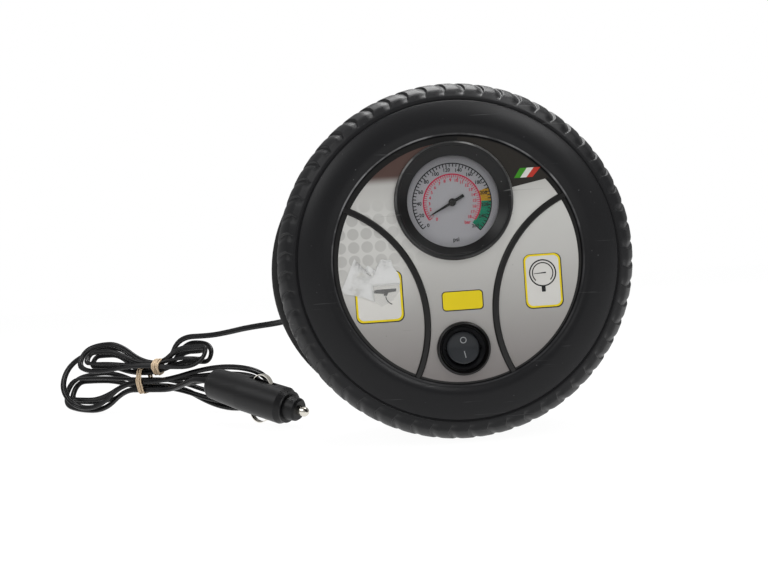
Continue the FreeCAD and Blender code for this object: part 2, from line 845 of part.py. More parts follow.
case_shell = turned("gauge_case_shell", [
    (0, s.gauge_case_back), (s.gauge_case_radius, s.gauge_case_back), (s.gauge_case_radius, lens_foot),
    (case_bore, lens_foot), (case_bore, dial_face - s.dial_thick),
    (case_bore - s.gauge_case_wall, dial_face - s.dial_thick),
    (case_bore - s.gauge_case_wall, s.gauge_case_back + s.gauge_case_wall),
    (0, s.gauge_case_back + s.gauge_case_wall),
], gauge_at)
inlet_y = -(s.gauge_case_back + 6.5)
inlet_hole = cylinder("gauge_inlet_hole", s.tube_radius + s.fit_gap, 6,
                      (0, inlet_y, s.gauge_z - s.gauge_case_radius - 1), "z")
keep(cut("gauge_case", case_shell, inlet_hole), "gauge_case")

needle = body("gauge_needle", (0, 0, s.gauge_z), FACE_ON * Rotation(Vector(0, 0, 1), SIZES["needle_angle"]))
needle_foot = dial_face + s.needle_lift
needle_top = needle_foot + s.needle_thick + 0.6
movement_face = s.gauge_case_back + s.gauge_case_wall + s.movement_thick
spin(needle, "needle_hub", [
    (0, movement_face + 0.1), (s.needle_pin, movement_face + 0.1), (s.needle_pin, needle_foot),
    (s.needle_radius, needle_foot),
    (s.needle_radius, needle_top - 0.3, s.needle_radius * 0.75, needle_top - 0.08),
    (s.needle_radius * 0.4, needle_top),
    (0, needle_top),
])
pad(needle, "needle_blade", [[
    (-s.needle_tail, -0.75), (0, -0.7), (s.needle_reach - 2.5, -0.35), (s.needle_reach, 0),
    (s.needle_reach - 2.5, 0.35), (0, 0.7), (-s.needle_tail, 0.75),
]], needle_foot, s.needle_thick)
keep(needle, "gauge_needle")

movement = turned("movement_post", [
    (s.needle_pin + s.running_gap, movement_face), (s.movement_radius, movement_face),
    (s.movement_radius, movement_face + s.movement_post), (s.needle_pin + s.running_gap,
                                                           movement_face + s.movement_post),
], gauge_at)
movement_plate = block("movement_plate", 9, s.movement_thick, 16, (-4.5, -movement_face, s.gauge_z - 8))
keep(fuse("gauge_movement", movement, movement_plate), "gauge_movement")

tube_ring = doc.addObject("Part::Torus", "bourdon_ring")
drive(tube_ring, "Radius1", s.bourdon_radius)
drive(tube_ring, "Radius2", s.bourdon_half)
tube_ring.Angle3 = 250
put(tube_ring, (0, inlet_y, s.gauge_z), FACE_ON * Rotation(Vector(0, 0, 1), -80))
keep(tube_ring, "bourdon_tube")
inlet_parts = [
    block("inlet_foot", 6, 5, 4.5, (-3, inlet_y - 2.5, s.gauge_z - s.bourdon_radius - s.bourdon_half - 4)),
    cylinder("inlet_stem", s.tube_radius, 6,
             (0, inlet_y, s.gauge_z - s.gauge_case_radius - 0.5), "z"),
    cylinder("inlet_barb", s.barb_radius, 8,
             (0, inlet_y, s.gauge_z - s.gauge_case_radius - 8), "z"),
]
keep(fuse("gauge_inlet", *inlet_parts), "gauge_inlet")

# Rocker switch, shown switched off: its upper half is pressed in.
switch_at = (0, 0, s.switch_z)
ledge = front - s.collar_sink
rocker_axis = ledge - s.rocker_sink
switch_shell = turned("switch_shell", [
    (s.rocker_ball + s.rocker_gap, ledge - 1.2), (s.switch_bezel - 0.6, ledge + 1.3),
    (s.switch_bezel, ledge + 0.9), (s.switch_bezel, ledge), (s.switch_body_radius, ledge),
    (s.switch_body_radius, ledge - s.switch_depth), (0, ledge - s.switch_depth),
    (0, ledge - s.switch_depth + 1.6), (s.rocker_ball + s.rocker_gap, ledge - s.switch_depth + 1.6),
], switch_at)
pin_bore = cylinder("rocker_pin_bore", s.rocker_pin + s.running_gap, 2 * s.switch_body_radius + 2,
                    (-s.switch_body_radius - 1, -rocker_axis, s.switch_z), "x")
keep(cut("switch_body", switch_shell, pin_bore), "switch_body")

rocker_ball = doc.addObject("Part::Sphere", "rocker_ball")
drive(rocker_ball, "Radius", s.rocker_ball)
put(rocker_ball, (0, -rocker_axis, s.switch_z))
rocker_top = body("rocker_top", (0, -rocker_axis, s.switch_z),
                  Rotation(Vector(1, 0, 0), -SIZES["rocker_tilt"]) * FACE_ON)
rise = s.rocker_crown + 8 * math.tan(math.radians(SIZES["rocker_tilt"]))
pad(rocker_top, "rocker_block", [[
    (8, -3.4), (8, rise), (0, s.rocker_crown), (-8, rise), (-8, -3.4),
]], -8, 16, "YZ_Plane")
rocker_pin = cylinder("rocker_pin", s.rocker_pin, 2 * s.switch_body_radius - 1,
                      (0.5 - s.switch_body_radius, -rocker_axis, s.switch_z), "x")
keep(fuse("switch_rocker", common("rocker_cap", rocker_ball, rocker_top), rocker_pin), "switch_rocker")
blades = [block(f"terminal_{number}", 4.8, 8, 0.8,
                (-2.4, -(ledge - s.switch_depth), s.switch_z - 0.4 + 5 * (number - 1)))
          for number in range(3)]
keep(doc.addObject("Part::Compound", "switch_terminals"), "switch_terminals").Links = blades

# Pump: a motor and its gear turn a crank that drives the piston; all of it hangs on one bracket.
plate_left = s.plate_x - s.plate_thick
low_y, high_y = s.pump_y - s.plate_half, s.pump_y + s.plate_half
shelf_top = s.shelf_z + s.shelf_thick
shelf_left = s.rod_x - s.head_half
bolt_spots = [(s.rod_x + s.bolt_x * i, s.pump_y + s.bolt_y * j) for i in (-1, 1) for j in (-1, 1)]
foot_spots = [(s.upper_foot_x, s.upper_foot_z), (s.lower_foot_x, s.lower_foot_z)]
foot_face = -floor_inside - s.foot_height

bracket_solid = fuse(
    "bracket_solid",
    block("bracket_plate", s.plate_thick, 2 * s.plate_half, s.plate_top - s.shelf_z,
          (plate_left, low_y, s.shelf_z)),
    block("bracket_shelf", s.plate_x - shelf_left, 2 * s.plate_half, s.shelf_thick,
          (shelf_left, low_y, s.shelf_z)),
    block("upper_foot", plate_left - s.upper_foot_x + 5, s.plate_thick, 8,
          (s.upper_foot_x - 5, foot_face - s.plate_thick, s.upper_foot_z - 4)),
    block("lower_foot", shelf_left - s.lower_foot_x + 7, s.plate_thick, s.lower_foot_z - s.shelf_z + 4,
          (s.lower_foot_x - 4, foot_face - s.plate_thick, s.shelf_z)),
)
bracket_holes = [
    cylinder("shelf_bore", s.bore_radius, 6, (s.rod_x, s.pump_y, s.shelf_z - 2)),
    cylinder("spindle_bore", s.spindle_radius + s.running_gap, 6, (plate_left - 2, s.pump_y, 0), "x"),
    cylinder("motor_spigot_bore", s.spigot_radius, 6, (plate_left - 2, s.pump_y, s.motor_z), "x"),
]
for number, (x, y) in enumerate(bolt_spots):
    bracket_holes.append(cylinder(f"shelf_hole_{number}", s.bolt_radius, 6, (x, y, s.shelf_z - 2)))
for number, (x, z) in enumerate(foot_spots):
    bracket_holes.append(cylinder(f"foot_hole_{number}", s.foot_screw_radius + s.fit_gap, 6,
                                  (x, foot_face - 4, z), "y"))
keep(cut("pump_bracket", bracket_solid, *bracket_holes), "pump_bracket")


def along_x(name, corners, x, z):
    """A turned piece on a line along +X at the pump's depth, from x on."""
    return turned(name, corners, (x, s.pump_y, z), ALONG["x"])


can_inside = s.motor_radius - s.can_wall
keep(along_x("motor_can", [
    (s.shaft_radius + s.running_gap, -s.plate_thick), (s.spigot_radius, -s.plate_thick), (s.spigot_radius,
                                                                                          0),
    (s.motor_radius, 0), (s.motor_radius, s.motor_length), (can_inside, s.motor_length),
    (can_inside, s.can_wall), (s.shaft_radius + s.running_gap, s.can_wall),
], s.plate_x, s.motor_z), "motor_can")
magnet_start = s.can_wall + 3
keep(along_x("motor_magnets", [
    (can_inside - s.magnet_thick, magnet_start), (can_inside, magnet_start),
    (can_inside, magnet_start + s.core_length), (can_inside - s.magnet_thick, magnet_start + s.core_length),
], s.plate_x, s.motor_z), "motor_magnets")
core_radius = can_inside - s.magnet_thick - s.core_gap
shaft_back = s.motor_length + s.cap_thick - 0.5
keep(along_x("motor_rotor", [
    (0, -s.pinion_reach), (s.shaft_radius, -s.pinion_reach), (s.shaft_radius, magnet_start),
    (core_radius, magnet_start), (core_radius, magnet_start + s.core_length),
    (s.commutator_radius, magnet_start + s.core_length), (s.commutator_radius, s.motor_length - 1),
    (s.shaft_radius, s.motor_length - 1), (s.shaft_radius, shaft_back), (0, shaft_back),
], s.plate_x, s.motor_z), "motor_rotor")
cap_disc = along_x("cap_disc", [
    (s.shaft_radius + s.running_gap, 0), (s.motor_radius, 0), (s.motor_radius, s.cap_thick),
    (s.shaft_radius + s.running_gap, s.cap_thick),
], s.plate_x + s.motor_length, s.motor_z)
cap_left = s.plate_x + s.motor_length + s.cap_thick
cap_tabs = [block(f"motor_tab_{number}", s.tab_length + 1, s.tab_thick, s.tab_width,
                  (cap_left - 1, s.pump_y - s.tab_thick / 2 + offset, s.motor_z - s.tab_width / 2))
            for number, offset in enumerate((-8, 8))]
keep(fuse("motor_end_cap", cap_disc, *cap_tabs), "motor_end_cap")


def toothed(name, teeth, bore, left, width, z, phase):
    """A spur wheel on a line along +X, its teeth trimmed by the backlash on both flanks."""
    pitch = teeth * s.tooth_module / 2
    top, root = pitch + s.tooth_height, pitch - s.tooth_module * 1.2
    half = s.tooth_module * (math.pi / 4) - s.backlash / 2
    lean = math.tan(math.radians(20))
    wheel = body(name, (left, s.pump_y, z), ALONG["x"] * Rotation(Vector(0, 0, 1), phase))
    pad(wheel, name + "_disc", [("circle", 0, 0, root), ("circle", 0, 0, bore)], 0, width)
    low, high = half + s.tooth_module * 1.2 * lean, half - s.tooth_height * lean
    tooth = pad(wheel, name + "_tooth", [[
        (root - 0.3, -low), (root, -low), (top, -high), (top, high), (root, low), (root - 0.3, low),
    ]], 0, width)
    around(wheel, tooth, teeth)
    return wheel


gear_left = plate_left - s.gear_gap - s.gear_width
pinion_left = gear_left - 0.5
gear_blank = toothed("crank_gear_blank", s.gear_teeth, s.spindle_radius, gear_left, s.gear_width, 0, 0)
pin_hole = cylinder("crank_pin_hole", s.crank_pin_radius, s.gear_width + 2,
                    (gear_left - 1, s.pump_y, s.crank_radius), "x")
keep(cut("crank_gear", gear_blank, pin_hole), "crank_gear")
half_pitch = 180 / SIZES["pinion_teeth"]
keep(toothed("drive_pinion", s.pinion_teeth, s.shaft_radius, pinion_left, s.gear_width + 1, s.motor_z,
             half_pitch), "drive_pinion")
clip_face = s.plate_x - gear_left + s.running_gap * 4
keep(along_x("gear_spindle", [
    (0, 0), (s.spindle_radius, 0), (s.spindle_radius, s.gear_width), (s.spindle_collar, s.gear_width),
    (s.spindle_collar, s.gear_width + s.gear_gap - 0.2), (s.spindle_radius,
                                                          s.gear_width + s.gear_gap - 0.2),
    (s.spindle_radius, clip_face), (s.spindle_collar, clip_face), (s.spindle_collar, clip_face + 0.9),
    (0, clip_face + 0.9),
], gear_left, 0), "gear_spindle")

rod_right = s.rod_x + s.rod_half
pin_left = s.rod_x - s.rod_half - 1.1
keep(along_x("crank_pin", [
    (0, 0), (s.spindle_collar - 0.6, 0), (s.spindle_collar - 0.6, 0.8), (s.crank_pin_radius, 0.8),
    (s.crank_pin_radius, rod_right + 0.25 - pin_left), (s.spindle_collar - 0.6,
                                                        rod_right + 0.25 - pin_left),
    (s.spindle_collar - 0.6, gear_left - pin_left), (s.crank_pin_radius, gear_left - pin_left),
    (s.crank_pin_radius, gear_left + s.gear_width - pin_left), (0, gear_left + s.gear_width - pin_left),
], pin_left, s.crank_radius), "crank_pin")

rod_low = s.crank_radius - s.rod_length
rod_solid = fuse(
    "rod_solid",
    cylinder("rod_big_eye", s.rod_big_eye, 2 * s.rod_half, (s.rod_x - s.rod_half, s.pump_y, s.crank_radius),
             "x"),
    cylinder("rod_small_eye", s.rod_eye, 2 * s.rod_half, (s.rod_x - s.rod_half, s.pump_y, rod_low), "x"),
    block("rod_shank", 2 * s.rod_half - 1, 2 * s.rod_web, s.rod_length,
          (s.rod_x - s.rod_half + 0.5, s.pump_y - s.rod_web, rod_low)),
)
rod_bores = [
    cylinder("rod_big_bore", s.crank_pin_radius + s.running_gap, 2 * s.rod_half + 2,
             (s.rod_x - s.rod_half - 1, s.pump_y, s.crank_radius), "x"),
    cylinder("rod_small_bore", s.wrist_pin_radius, 2 * s.rod_half + 2,
             (s.rod_x - s.rod_half - 1, s.pump_y, rod_low), "x"),
]
keep(cut("connecting_rod", rod_solid, *rod_bores), "connecting_rod")
keep(cylinder("wrist_pin", s.wrist_pin_radius, 2 * s.wrist_pin_half,
              (s.rod_x - s.wrist_pin_half, s.pump_y, rod_low), "x"),
     "wrist_pin")


def upright(name, corners, z):
    """A turned piece on the cylinder's line, its outline's heights counted upwards from z."""
    return turned(name, corners, (s.rod_x, s.pump_y, z), Rotation())


piston_radius = s.bore_radius - s.piston_gap
cavity = piston_radius - s.piston_wall
crown = -s.piston_cavity - s.piston_crown
seal_top = -s.piston_cavity - (s.piston_crown - s.seal_thick) / 2
seal_inside = piston_radius - s.seal_depth
piston_skin = upright("piston_skin", [
    (0, crown), (piston_radius - 0.4, crown), (piston_radius, crown + 0.4), (piston_radius,
                                                                             seal_top - s.seal_thick),
    (seal_inside, seal_top - s.seal_thick), (seal_inside, seal_top), (piston_radius, seal_top),
    (piston_radius, 0), (cavity, 0), (cavity, -s.piston_cavity), (0, -s.piston_cavity),
], s.piston_top)
piston_cross = cylinder("piston_cross_hole", s.wrist_pin_radius + 0.3, 2 * s.bore_radius + 4,
                        (s.rod_x - s.bore_radius - 2, s.pump_y, rod_low), "x")
keep(cut("piston", piston_skin, piston_cross), "piston")
keep(upright("piston_seal", [
    (seal_inside, seal_top - s.seal_thick), (s.bore_radius - s.seal_gap, seal_top - s.seal_thick),
    (s.bore_radius - s.seal_gap, seal_top), (seal_inside, seal_top),
], s.piston_top), "piston_seal")
outer = s.bore_radius + s.cylinder_wall
cylinder_low = s.shelf_z - s.cylinder_length
keep(upright("pump_cylinder", [
    (s.bore_radius, 0), (outer, 0), (outer, s.cylinder_length), (s.bore_radius, s.cylinder_length),
], cylinder_low), "pump_cylinder")
keep(upright("head_gasket", [
    (s.port_radius * 3, -s.gasket_thick), (outer, -s.gasket_thick), (outer, 0), (s.port_radius * 3, 0),
], cylinder_low), "head_gasket")

head_top = cylinder_low - s.gasket_thick
head_low = head_top - s.head_height
valve_seat = head_top - s.port_length
head_block = block("head_block", 2 * s.head_half, 2 * s.plate_half, s.head_height,
                   (shelf_left, low_y, head_low))
head_right = s.rod_x + s.head_half
head_barb = cylinder("head_barb", s.barb_radius, head_right + s.barb_length - s.rod_x - s.chamber_radius,
                     (s.rod_x + s.chamber_radius, s.pump_y, s.tee_z), "x")
head_cuts = [
    cylinder("head_port", s.port_radius, s.port_length + 2, (s.rod_x, s.pump_y, valve_seat - 1)),
    cylinder("head_chamber", s.chamber_radius, valve_seat - head_low + 1,
             (s.rod_x, s.pump_y, head_low - 1)),
    cylinder("head_outlet", s.barb_bore, 2 * s.head_half + s.barb_length, (s.rod_x, s.pump_y, s.tee_z),
             "x"),
]
for number, (x, y) in enumerate(bolt_spots):
    head_cuts.append(cylinder(f"head_hole_{number}", s.bolt_radius, s.head_height + 2,
                              (x, y, head_low - 1)))
keep(cut("cylinder_head", fuse("head_solid", head_block, head_barb), *head_cuts), "cylinder_head")
plug_top = head_low + s.valve_cap_thick
keep(cylinder("valve_cap", s.chamber_radius, s.valve_cap_thick, (s.rod_x, s.pump_y, head_low)), "valve_cap")
keep(cylinder("outlet_valve", s.chamber_radius - 0.6, s.valve_thick,
              (s.rod_x, s.pump_y, valve_seat - s.valve_thick)),
     "outlet_valve")


def spring(radius, wire, low, high, turns):
    """An open-ended coil spring standing on the z axis from low to high."""
    radius, wire, low, high = float(radius), float(wire), float(low), float(high)
    pitch = (high - low - 2 * wire) / turns
    line = Part.makeLongHelix(pitch, pitch * turns, radius)
    line.translate(Vector(0, 0, low + wire))
    ring = Part.Wire(Part.Circle(Vector(radius, 0, low + wire), Vector(0, 1, 0), wire).toShape())
    return Part.Wire(line.Edges).makePipeShell([ring], True, True)


valve_coil = doc.addObject("Part::Feature", "valve_spring")
valve_coil.Shape = spring(2.4, 0.25, 0.02, valve_seat - s.valve_thick - plug_top - 0.02, 3)
keep(put(valve_coil, (s.rod_x, s.pump_y, plug_top)), "valve_spring")
bolts = []
for number, (x, y) in enumerate(bolt_spots):
    shank = cylinder(f"bolt_shank_{number}", s.bolt_radius, shelf_top - head_low, (x, y, head_low))
    head = cylinder(f"bolt_head_{number}", s.bolt_radius * 1.7, s.bolt_head, (x, y, head_low - s.bolt_head))
    bolts.append(fuse(f"bolt_{number}", shank, head))
for number, (x, z) in enumerate(foot_spots):
    bolts.append(screw(f"foot_screw_{number}", s.screw_head - 0.3, 1.5, s.foot_screw_radius, s.foot_height,
                       (x, foot_face - s.plate_thick, z), FACE_ON))

# Air line: from the pump's head to a tee, from there up to the gauge and round to the hose elbow.
tee_stem = s.barb_radius + 1.4
tee_parts = [
    cylinder("tee_heart", tee_stem, 2 * s.tee_half, (s.tee_x - s.tee_half, s.pump_y, s.tee_z), "x"),
    cylinder("tee_run", s.barb_radius, 2 * s.tee_half + 2 * s.barb_length,
             (s.tee_x - s.tee_half - s.barb_length, s.pump_y, s.tee_z), "x"),
    cylinder("tee_neck", tee_stem, s.tee_half, (s.tee_x, s.pump_y, s.tee_z)),
    cylinder("tee_branch", s.barb_radius, s.tee_half + s.barb_length, (s.tee_x, s.pump_y, s.tee_z)),
]
tee_bores = [
    cylinder("tee_run_bore", s.barb_bore, 2 * s.tee_half + 2 * s.barb_length + 2,
             (s.tee_x - s.tee_half - s.barb_length - 1, s.pump_y, s.tee_z), "x"),
    cylinder("tee_branch_bore", s.barb_bore, s.tee_half + s.barb_length + 1, (s.tee_x, s.pump_y, s.tee_z)),
]
keep(cut("air_tee", fuse("tee_solid", *tee_parts), *tee_bores), "air_tee")


def above(x, y, z):
    """A point of a tube's route, its height counted from the middle of the wheel."""
    return Vector(float(x), float(y), float(z) + float(R))


def rounded_route(points, name):
    """Straight runs between the points, joined by tangent arcs as large as both runs allow."""
    edges = []
    radii = []
    start = points[0]
    for before, corner, after in zip(points, points[1:], points[2:]):
        back, ahead = before - corner, after - corner
        half_turn = (math.pi - back.getAngle(ahead)) / 2
        reach = 0.45 * min(back.Length, ahead.Length)
        radii.append(reach / math.tan(half_turn))
        back.normalize()
        ahead.normalize()
        first, last = corner + back * reach, corner + ahead * reach
        inward = (back + ahead).normalize()
        middle = corner + inward * radii[-1] * (1 / math.cos(half_turn) - 1)
        edges.append(Part.LineSegment(start, first).toShape())
        edges.append(Part.Arc(first, middle, last).toShape())
        start = last
    edges.append(Part.LineSegment(start, points[-1]).toShape())
    wire = Part.Wire(edges)
    print(name, "length", round(wire.Length, 1), "radii", [round(radius, 1) for radius in radii])
    return wire


def pipe(wire, radius):
    edge = wire.OrderedEdges[0]
    ring = Part.Wire(Part.Circle(edge.valueAt(edge.FirstParameter), edge.tangentAt(edge.FirstParameter),
                                 radius).toShape())
    return wire.makePipeShell([ring], True, False)


def tube(name, points, radius, bore=None):
    """A tube along a route, hollow where it has a bore."""
    radius = float(radius)
    wire = rounded_route(points, name)
    shape = pipe(wire, radius)
    wanted = math.pi * radius ** 2 * wire.Length
    print(name, "volume against section times length", round(shape.Volume / wanted, 4))
    if bore:
        shape = shape.cut(pipe(wire, float(bore)))
    item = doc.addObject("Part::Feature", name)
    item.Shape = shape
    return item


outlet_tube = cut("outlet_tube", cylinder("outlet_tube_skin", s.tube_radius,
                                          s.tee_x - s.tee_half - head_right,
                                          (head_right, s.pump_y, s.tee_z), "x"),
                  cylinder("outlet_tube_bore", s.barb_radius,
                           s.tee_x - s.tee_half - head_right + 2,
                           (head_right - 1, s.pump_y, s.tee_z), "x"))
gauge_y = inlet_y
gauge_tube = tube("gauge_tube", [
    above(s.tee_x, s.pump_y, s.tee_z + s.tee_half),
    above(s.tee_x, s.pump_y, -32),
    above(-8, 1, -21),
    above(-2, -10, -17),
    above(0, gauge_y, -10),
    above(0, gauge_y, s.gauge_z - s.gauge_case_radius - 0.5),
], s.tube_radius, s.barb_radius)
elbow_x, elbow_z = s.hose_track, s.elbow_z
supply_tube = tube("supply_tube", [
    above(s.tee_x + s.tee_half, s.pump_y, s.tee_z),
    above(12, s.pump_y, s.tee_z),
    above(34, 7, -46.5),
    above(50.5, s.elbow_inner_y, -30.5),
    above(elbow_x, s.elbow_inner_y, -21),
    above(elbow_x, s.elbow_inner_y, elbow_z - tee_stem - 0.4),
], s.tube_radius, s.barb_radius)
keep(doc.addObject("Part::Compound", "air_tubes"), "air_tubes").Links = [outlet_tube, gauge_tube,
                                                                         supply_tube]

# Hose elbow through the channel floor: its nozzle points up the channel.
elbow_parts = [
    cylinder("elbow_stem", tee_stem + 0.4, s.hose_y + 3 - s.elbow_inner_y + tee_stem,
             (elbow_x, s.elbow_inner_y - tee_stem, elbow_z), "y"),
    cylinder("elbow_flange", s.elbow_flange, 1.4, (elbow_x, -floor, elbow_z), "y"),
    cylinder("elbow_nozzle", s.hose_bore, tee_stem + 0.4 + s.barb_length + 3, (elbow_x, s.hose_y, elbow_z)),
    cylinder("elbow_inner_barb", s.barb_radius, tee_stem + s.barb_length,
             (elbow_x, s.elbow_inner_y, elbow_z - tee_stem - s.barb_length)),
]
elbow_bores = [
    cylinder("elbow_stem_bore", s.barb_bore, s.hose_y - s.elbow_inner_y + 1,
             (elbow_x, s.elbow_inner_y - 0.5, elbow_z), "y"),
    cylinder("elbow_nozzle_bore", s.barb_bore, tee_stem + s.barb_length + 6, (elbow_x, s.hose_y, elbow_z)),
    cylinder("elbow_inner_bore", s.barb_bore, tee_stem + s.barb_length + 1,
             (elbow_x, s.elbow_inner_y, elbow_z - tee_stem - s.barb_length - 1)),
]
keep(cut("hose_elbow", fuse("elbow_solid", *elbow_parts), *elbow_bores), "hose_elbow")
elbow_nut = turned("elbow_nut", [
    (tee_stem + 0.4, 0), (s.elbow_flange, 0), (s.elbow_flange, -2.2), (tee_stem + 0.4, -2.2),
], (elbow_x, -floor_inside, elbow_z), ALONG["y"])
keep(doc.addObject("Part::Compound", "pump_fasteners"), "pump_fasteners").Links = bolts + [elbow_nut]

# Chuck: parked in the channel, its mouth tilted out of it and its lever lying along it.
chuck_turn = math.radians(SIZES["chuck_angle"])
chuck_lean = math.radians(SIZES["chuck_tilt"])
CHUCK_WAY = Vector(-math.sin(chuck_turn) * math.cos(chuck_lean), -math.sin(chuck_lean),
                   math.cos(chuck_turn) * math.cos(chuck_lean))
CHUCK_HINGE = Vector(math.cos(chuck_turn), 0, math.sin(chuck_turn))
CHUCK_FRAME = Rotation(CHUCK_HINGE, CHUCK_WAY.cross(CHUCK_HINGE), CHUCK_WAY, "ZXY")
chuck_middle = (s.chuck_track * CHUCK_HINGE.x, s.chuck_y, s.chuck_track * CHUCK_HINGE.z)
chuck_foot = tuple(place - s.chuck_length / 2 * part for place, part in zip(chuck_middle, CHUCK_WAY))


def on_chuck(item, x=0, y=0, z=0, turn=None):
    """Place an object given in the chuck's own frame: z along it, y outwards, x along the hinge."""
    axes = (CHUCK_HINGE, CHUCK_WAY.cross(CHUCK_HINGE), CHUCK_WAY)
    spot = [sum((as_size(part) * axis[index] for part, axis in zip((x, y, z), axes)), place)
            for index, place in enumerate(chuck_foot)]
    return put(item, spot, CHUCK_FRAME * (turn or Rotation()))


def chuck_cylinder(name, radius, length, x, y, z, along="z"):
    return on_chuck(cylinder(name, radius, length, (0, 0, 0)), x, y, z, ALONG[along])


def chuck_block(name, width, depth, height, x, y, z):
    return on_chuck(block(name, width, depth, height, (0, 0, 0)), x, y, z)


ear_low = s.hinge_z - s.ear_half
ear_x = s.lever_width / 2 + s.ear_gap
chuck_skin = on_chuck(turned("chuck_skin", [
    (0, 0), (s.chuck_radius - 0.6, 0), (s.chuck_radius, 0.6), (s.chuck_radius, s.chuck_length - 2),
    (s.chuck_radius - 1, s.chuck_length), (0, s.chuck_length),
]))
tail = chuck_cylinder("chuck_tail", s.hose_bore, s.ferrule_length, 0, 0, -s.ferrule_length)
ears = [chuck_block(f"chuck_ear_{number}", s.ear_thick, s.hinge_rise + s.ear_top - 3, 2 * s.ear_half, x, 3,
                    ear_low)
        for number, x in enumerate((-ear_x - s.ear_thick, ear_x))]
chuck_cuts = [
    chuck_cylinder("chuck_socket", s.chuck_bore, s.chuck_bore_depth + 1, 0, 0,
                   s.chuck_length - s.chuck_bore_depth),
    chuck_cylinder("chuck_seal_seat", s.seal_seat, s.seal_length + 1, 0, 0,
                   s.chuck_length - s.chuck_bore_depth - s.seal_length),
    chuck_cylinder("chuck_air_way", s.barb_bore, s.chuck_length + s.ferrule_length, 0, 0,
                   -s.ferrule_length - 1),
    chuck_cylinder("hinge_bore", s.lever_pin_radius, 2 * ear_x + 2 * s.ear_thick + 2,
                   -ear_x - s.ear_thick - 1, s.hinge_rise, s.hinge_z, "x"),
]
keep(cut("chuck_body", fuse("chuck_solid", chuck_skin, tail, *ears), *chuck_cuts), "chuck_body")
seal_foot = s.chuck_length - s.chuck_bore_depth - s.seal_length
keep(on_chuck(turned("chuck_seal", [
    (s.seal_bore, 0), (s.seal_seat, 0), (s.seal_seat, s.seal_length), (s.seal_bore, s.seal_length),
]), 0, 0, seal_foot), "chuck_seal")
lever_eye = chuck_cylinder("lever_eye", s.lever_eye, s.lever_width, -s.lever_width / 2, s.hinge_rise,
                           s.hinge_z, "x")
lever_arm = chuck_block("lever_arm", s.lever_width, s.lever_thick, s.lever_length,
                        -s.lever_width / 2, s.hinge_rise + s.lever_eye - s.lever_thick,
                        s.hinge_z - s.lever_length)
lever_bore = chuck_cylinder("lever_bore", s.lever_pin_radius + s.running_gap, s.lever_width + 2,
                            -s.lever_width / 2 - 1, s.hinge_rise, s.hinge_z, "x")
keep(cut("chuck_lever", fuse("lever_solid", lever_eye, lever_arm), lever_bore), "chuck_lever")
keep(chuck_cylinder("lever_pin", s.lever_pin_radius, 2 * ear_x + 2 * s.ear_thick, -ear_x - s.ear_thick,
                    s.hinge_rise, s.hinge_z, "x"), "lever_pin")
keep(on_chuck(turned("hose_ferrule", [
    (s.hose_radius + 0.02, -s.ferrule_length), (s.ferrule_radius, -s.ferrule_length), (s.ferrule_radius,
                                                                                       -0.02),
    (s.hose_radius + 0.02, -0.02),
])), "hose_ferrule")

# Hose: up the channel, over the rim, loosely down the left side and back in to the parked chuck.
hose_foot = above(*chuck_foot)
keep(tube("air_hose", [
    above(s.hose_track, s.hose_y, elbow_z + tee_stem + 0.4),
    above(58, 25.2, 15.5),
    above(42.5, 25.2, 42.5),
    above(19, 31.5, 58),
    above(-7, 39, 67),
    above(-36, 42, 73),
    above(-69.5, 42, 59),
    above(-92.5, 42, 25.5),
    above(-96, 42, -14.5),
    above(-79, 42, -51.5),
    above(-46, 42.5, -74.5),
    above(-14, 43.5, -77),
    above(9, 41, -72),
    hose_foot - CHUCK_WAY * 22,
    hose_foot,
], s.hose_radius, s.hose_bore), "air_hose")

# Supply lead: the flat stretch from the gland, then seven loops tied by two bands, then the plug.
LEAD = float(s.lead_radius)
ALONG_HANK = Vector(math.cos(math.radians(SIZES["hank_heading"])),
                    math.sin(math.radians(SIZES["hank_heading"])), 0)
ACROSS_HANK = Vector(-ALONG_HANK.y, ALONG_HANK.x, 0)
UP = Vector(0, 0, 1)
HANK_MIDDLE = Vector(SIZES["hank_x"], SIZES["hank_y"], SIZES["hank_height"])


class Lobe:
    """One end of a group of loops: how far it reaches from the tie, where it is widest, the height
    of its middle, its half width, how far its plane is turned up and the step between its turns."""

    def __init__(self, reach, widest, height, half, turn, step):
        self.reach, self.widest, self.height = reach, widest, height
        self.half, self.turn, self.step = half, turn, step

    def sideways(self):
        angle = math.radians(self.turn)
        return ACROSS_HANK * math.cos(angle) + UP * math.sin(angle)

    def stacked(self):
        angle = math.radians(self.turn)
        return ACROSS_HANK * -math.sin(angle) + UP * math.cos(angle)

    def point(self, along, across, layer):
        return (HANK_MIDDLE + ALONG_HANK * along + UP * (self.height - HANK_MIDDLE.z)
                + self.sideways() * across + self.stacked() * layer)

    def side(self, way, front, ring, layer):
        across = (self.half - ring * self.step) * (-1 if front else 1)
        return self.point(way * self.widest, across, layer * self.step)

    def tip(self, way, ring, layer):
        return self.point(way * (self.reach - ring * self.step), 0, layer * self.step)


UPPER_LEFT = Lobe(57, 39, 37.5, 10.5, 57, 5.8)
UPPER_RIGHT = Lobe(54, 38, 39, 10, 60, 6.2)
LOWER_LEFT = Lobe(78, 50, 15.4, 14, 60, 5.8)
LOWER_RIGHT = Lobe(98, 72, 16.4, 15, -60, 5.8)
WAIST_STEP = SIZES["waist_step"]


def waist(front, ring, level):
    """A strand's place at the tie: `level` counts the four layers from the bottom."""
    across = (1.5 - ring) * (-1 if front else 1) * WAIST_STEP
    return HANK_MIDDLE + ACROSS_HANK * across + UP * (level - 1.5) * WAIST_STEP


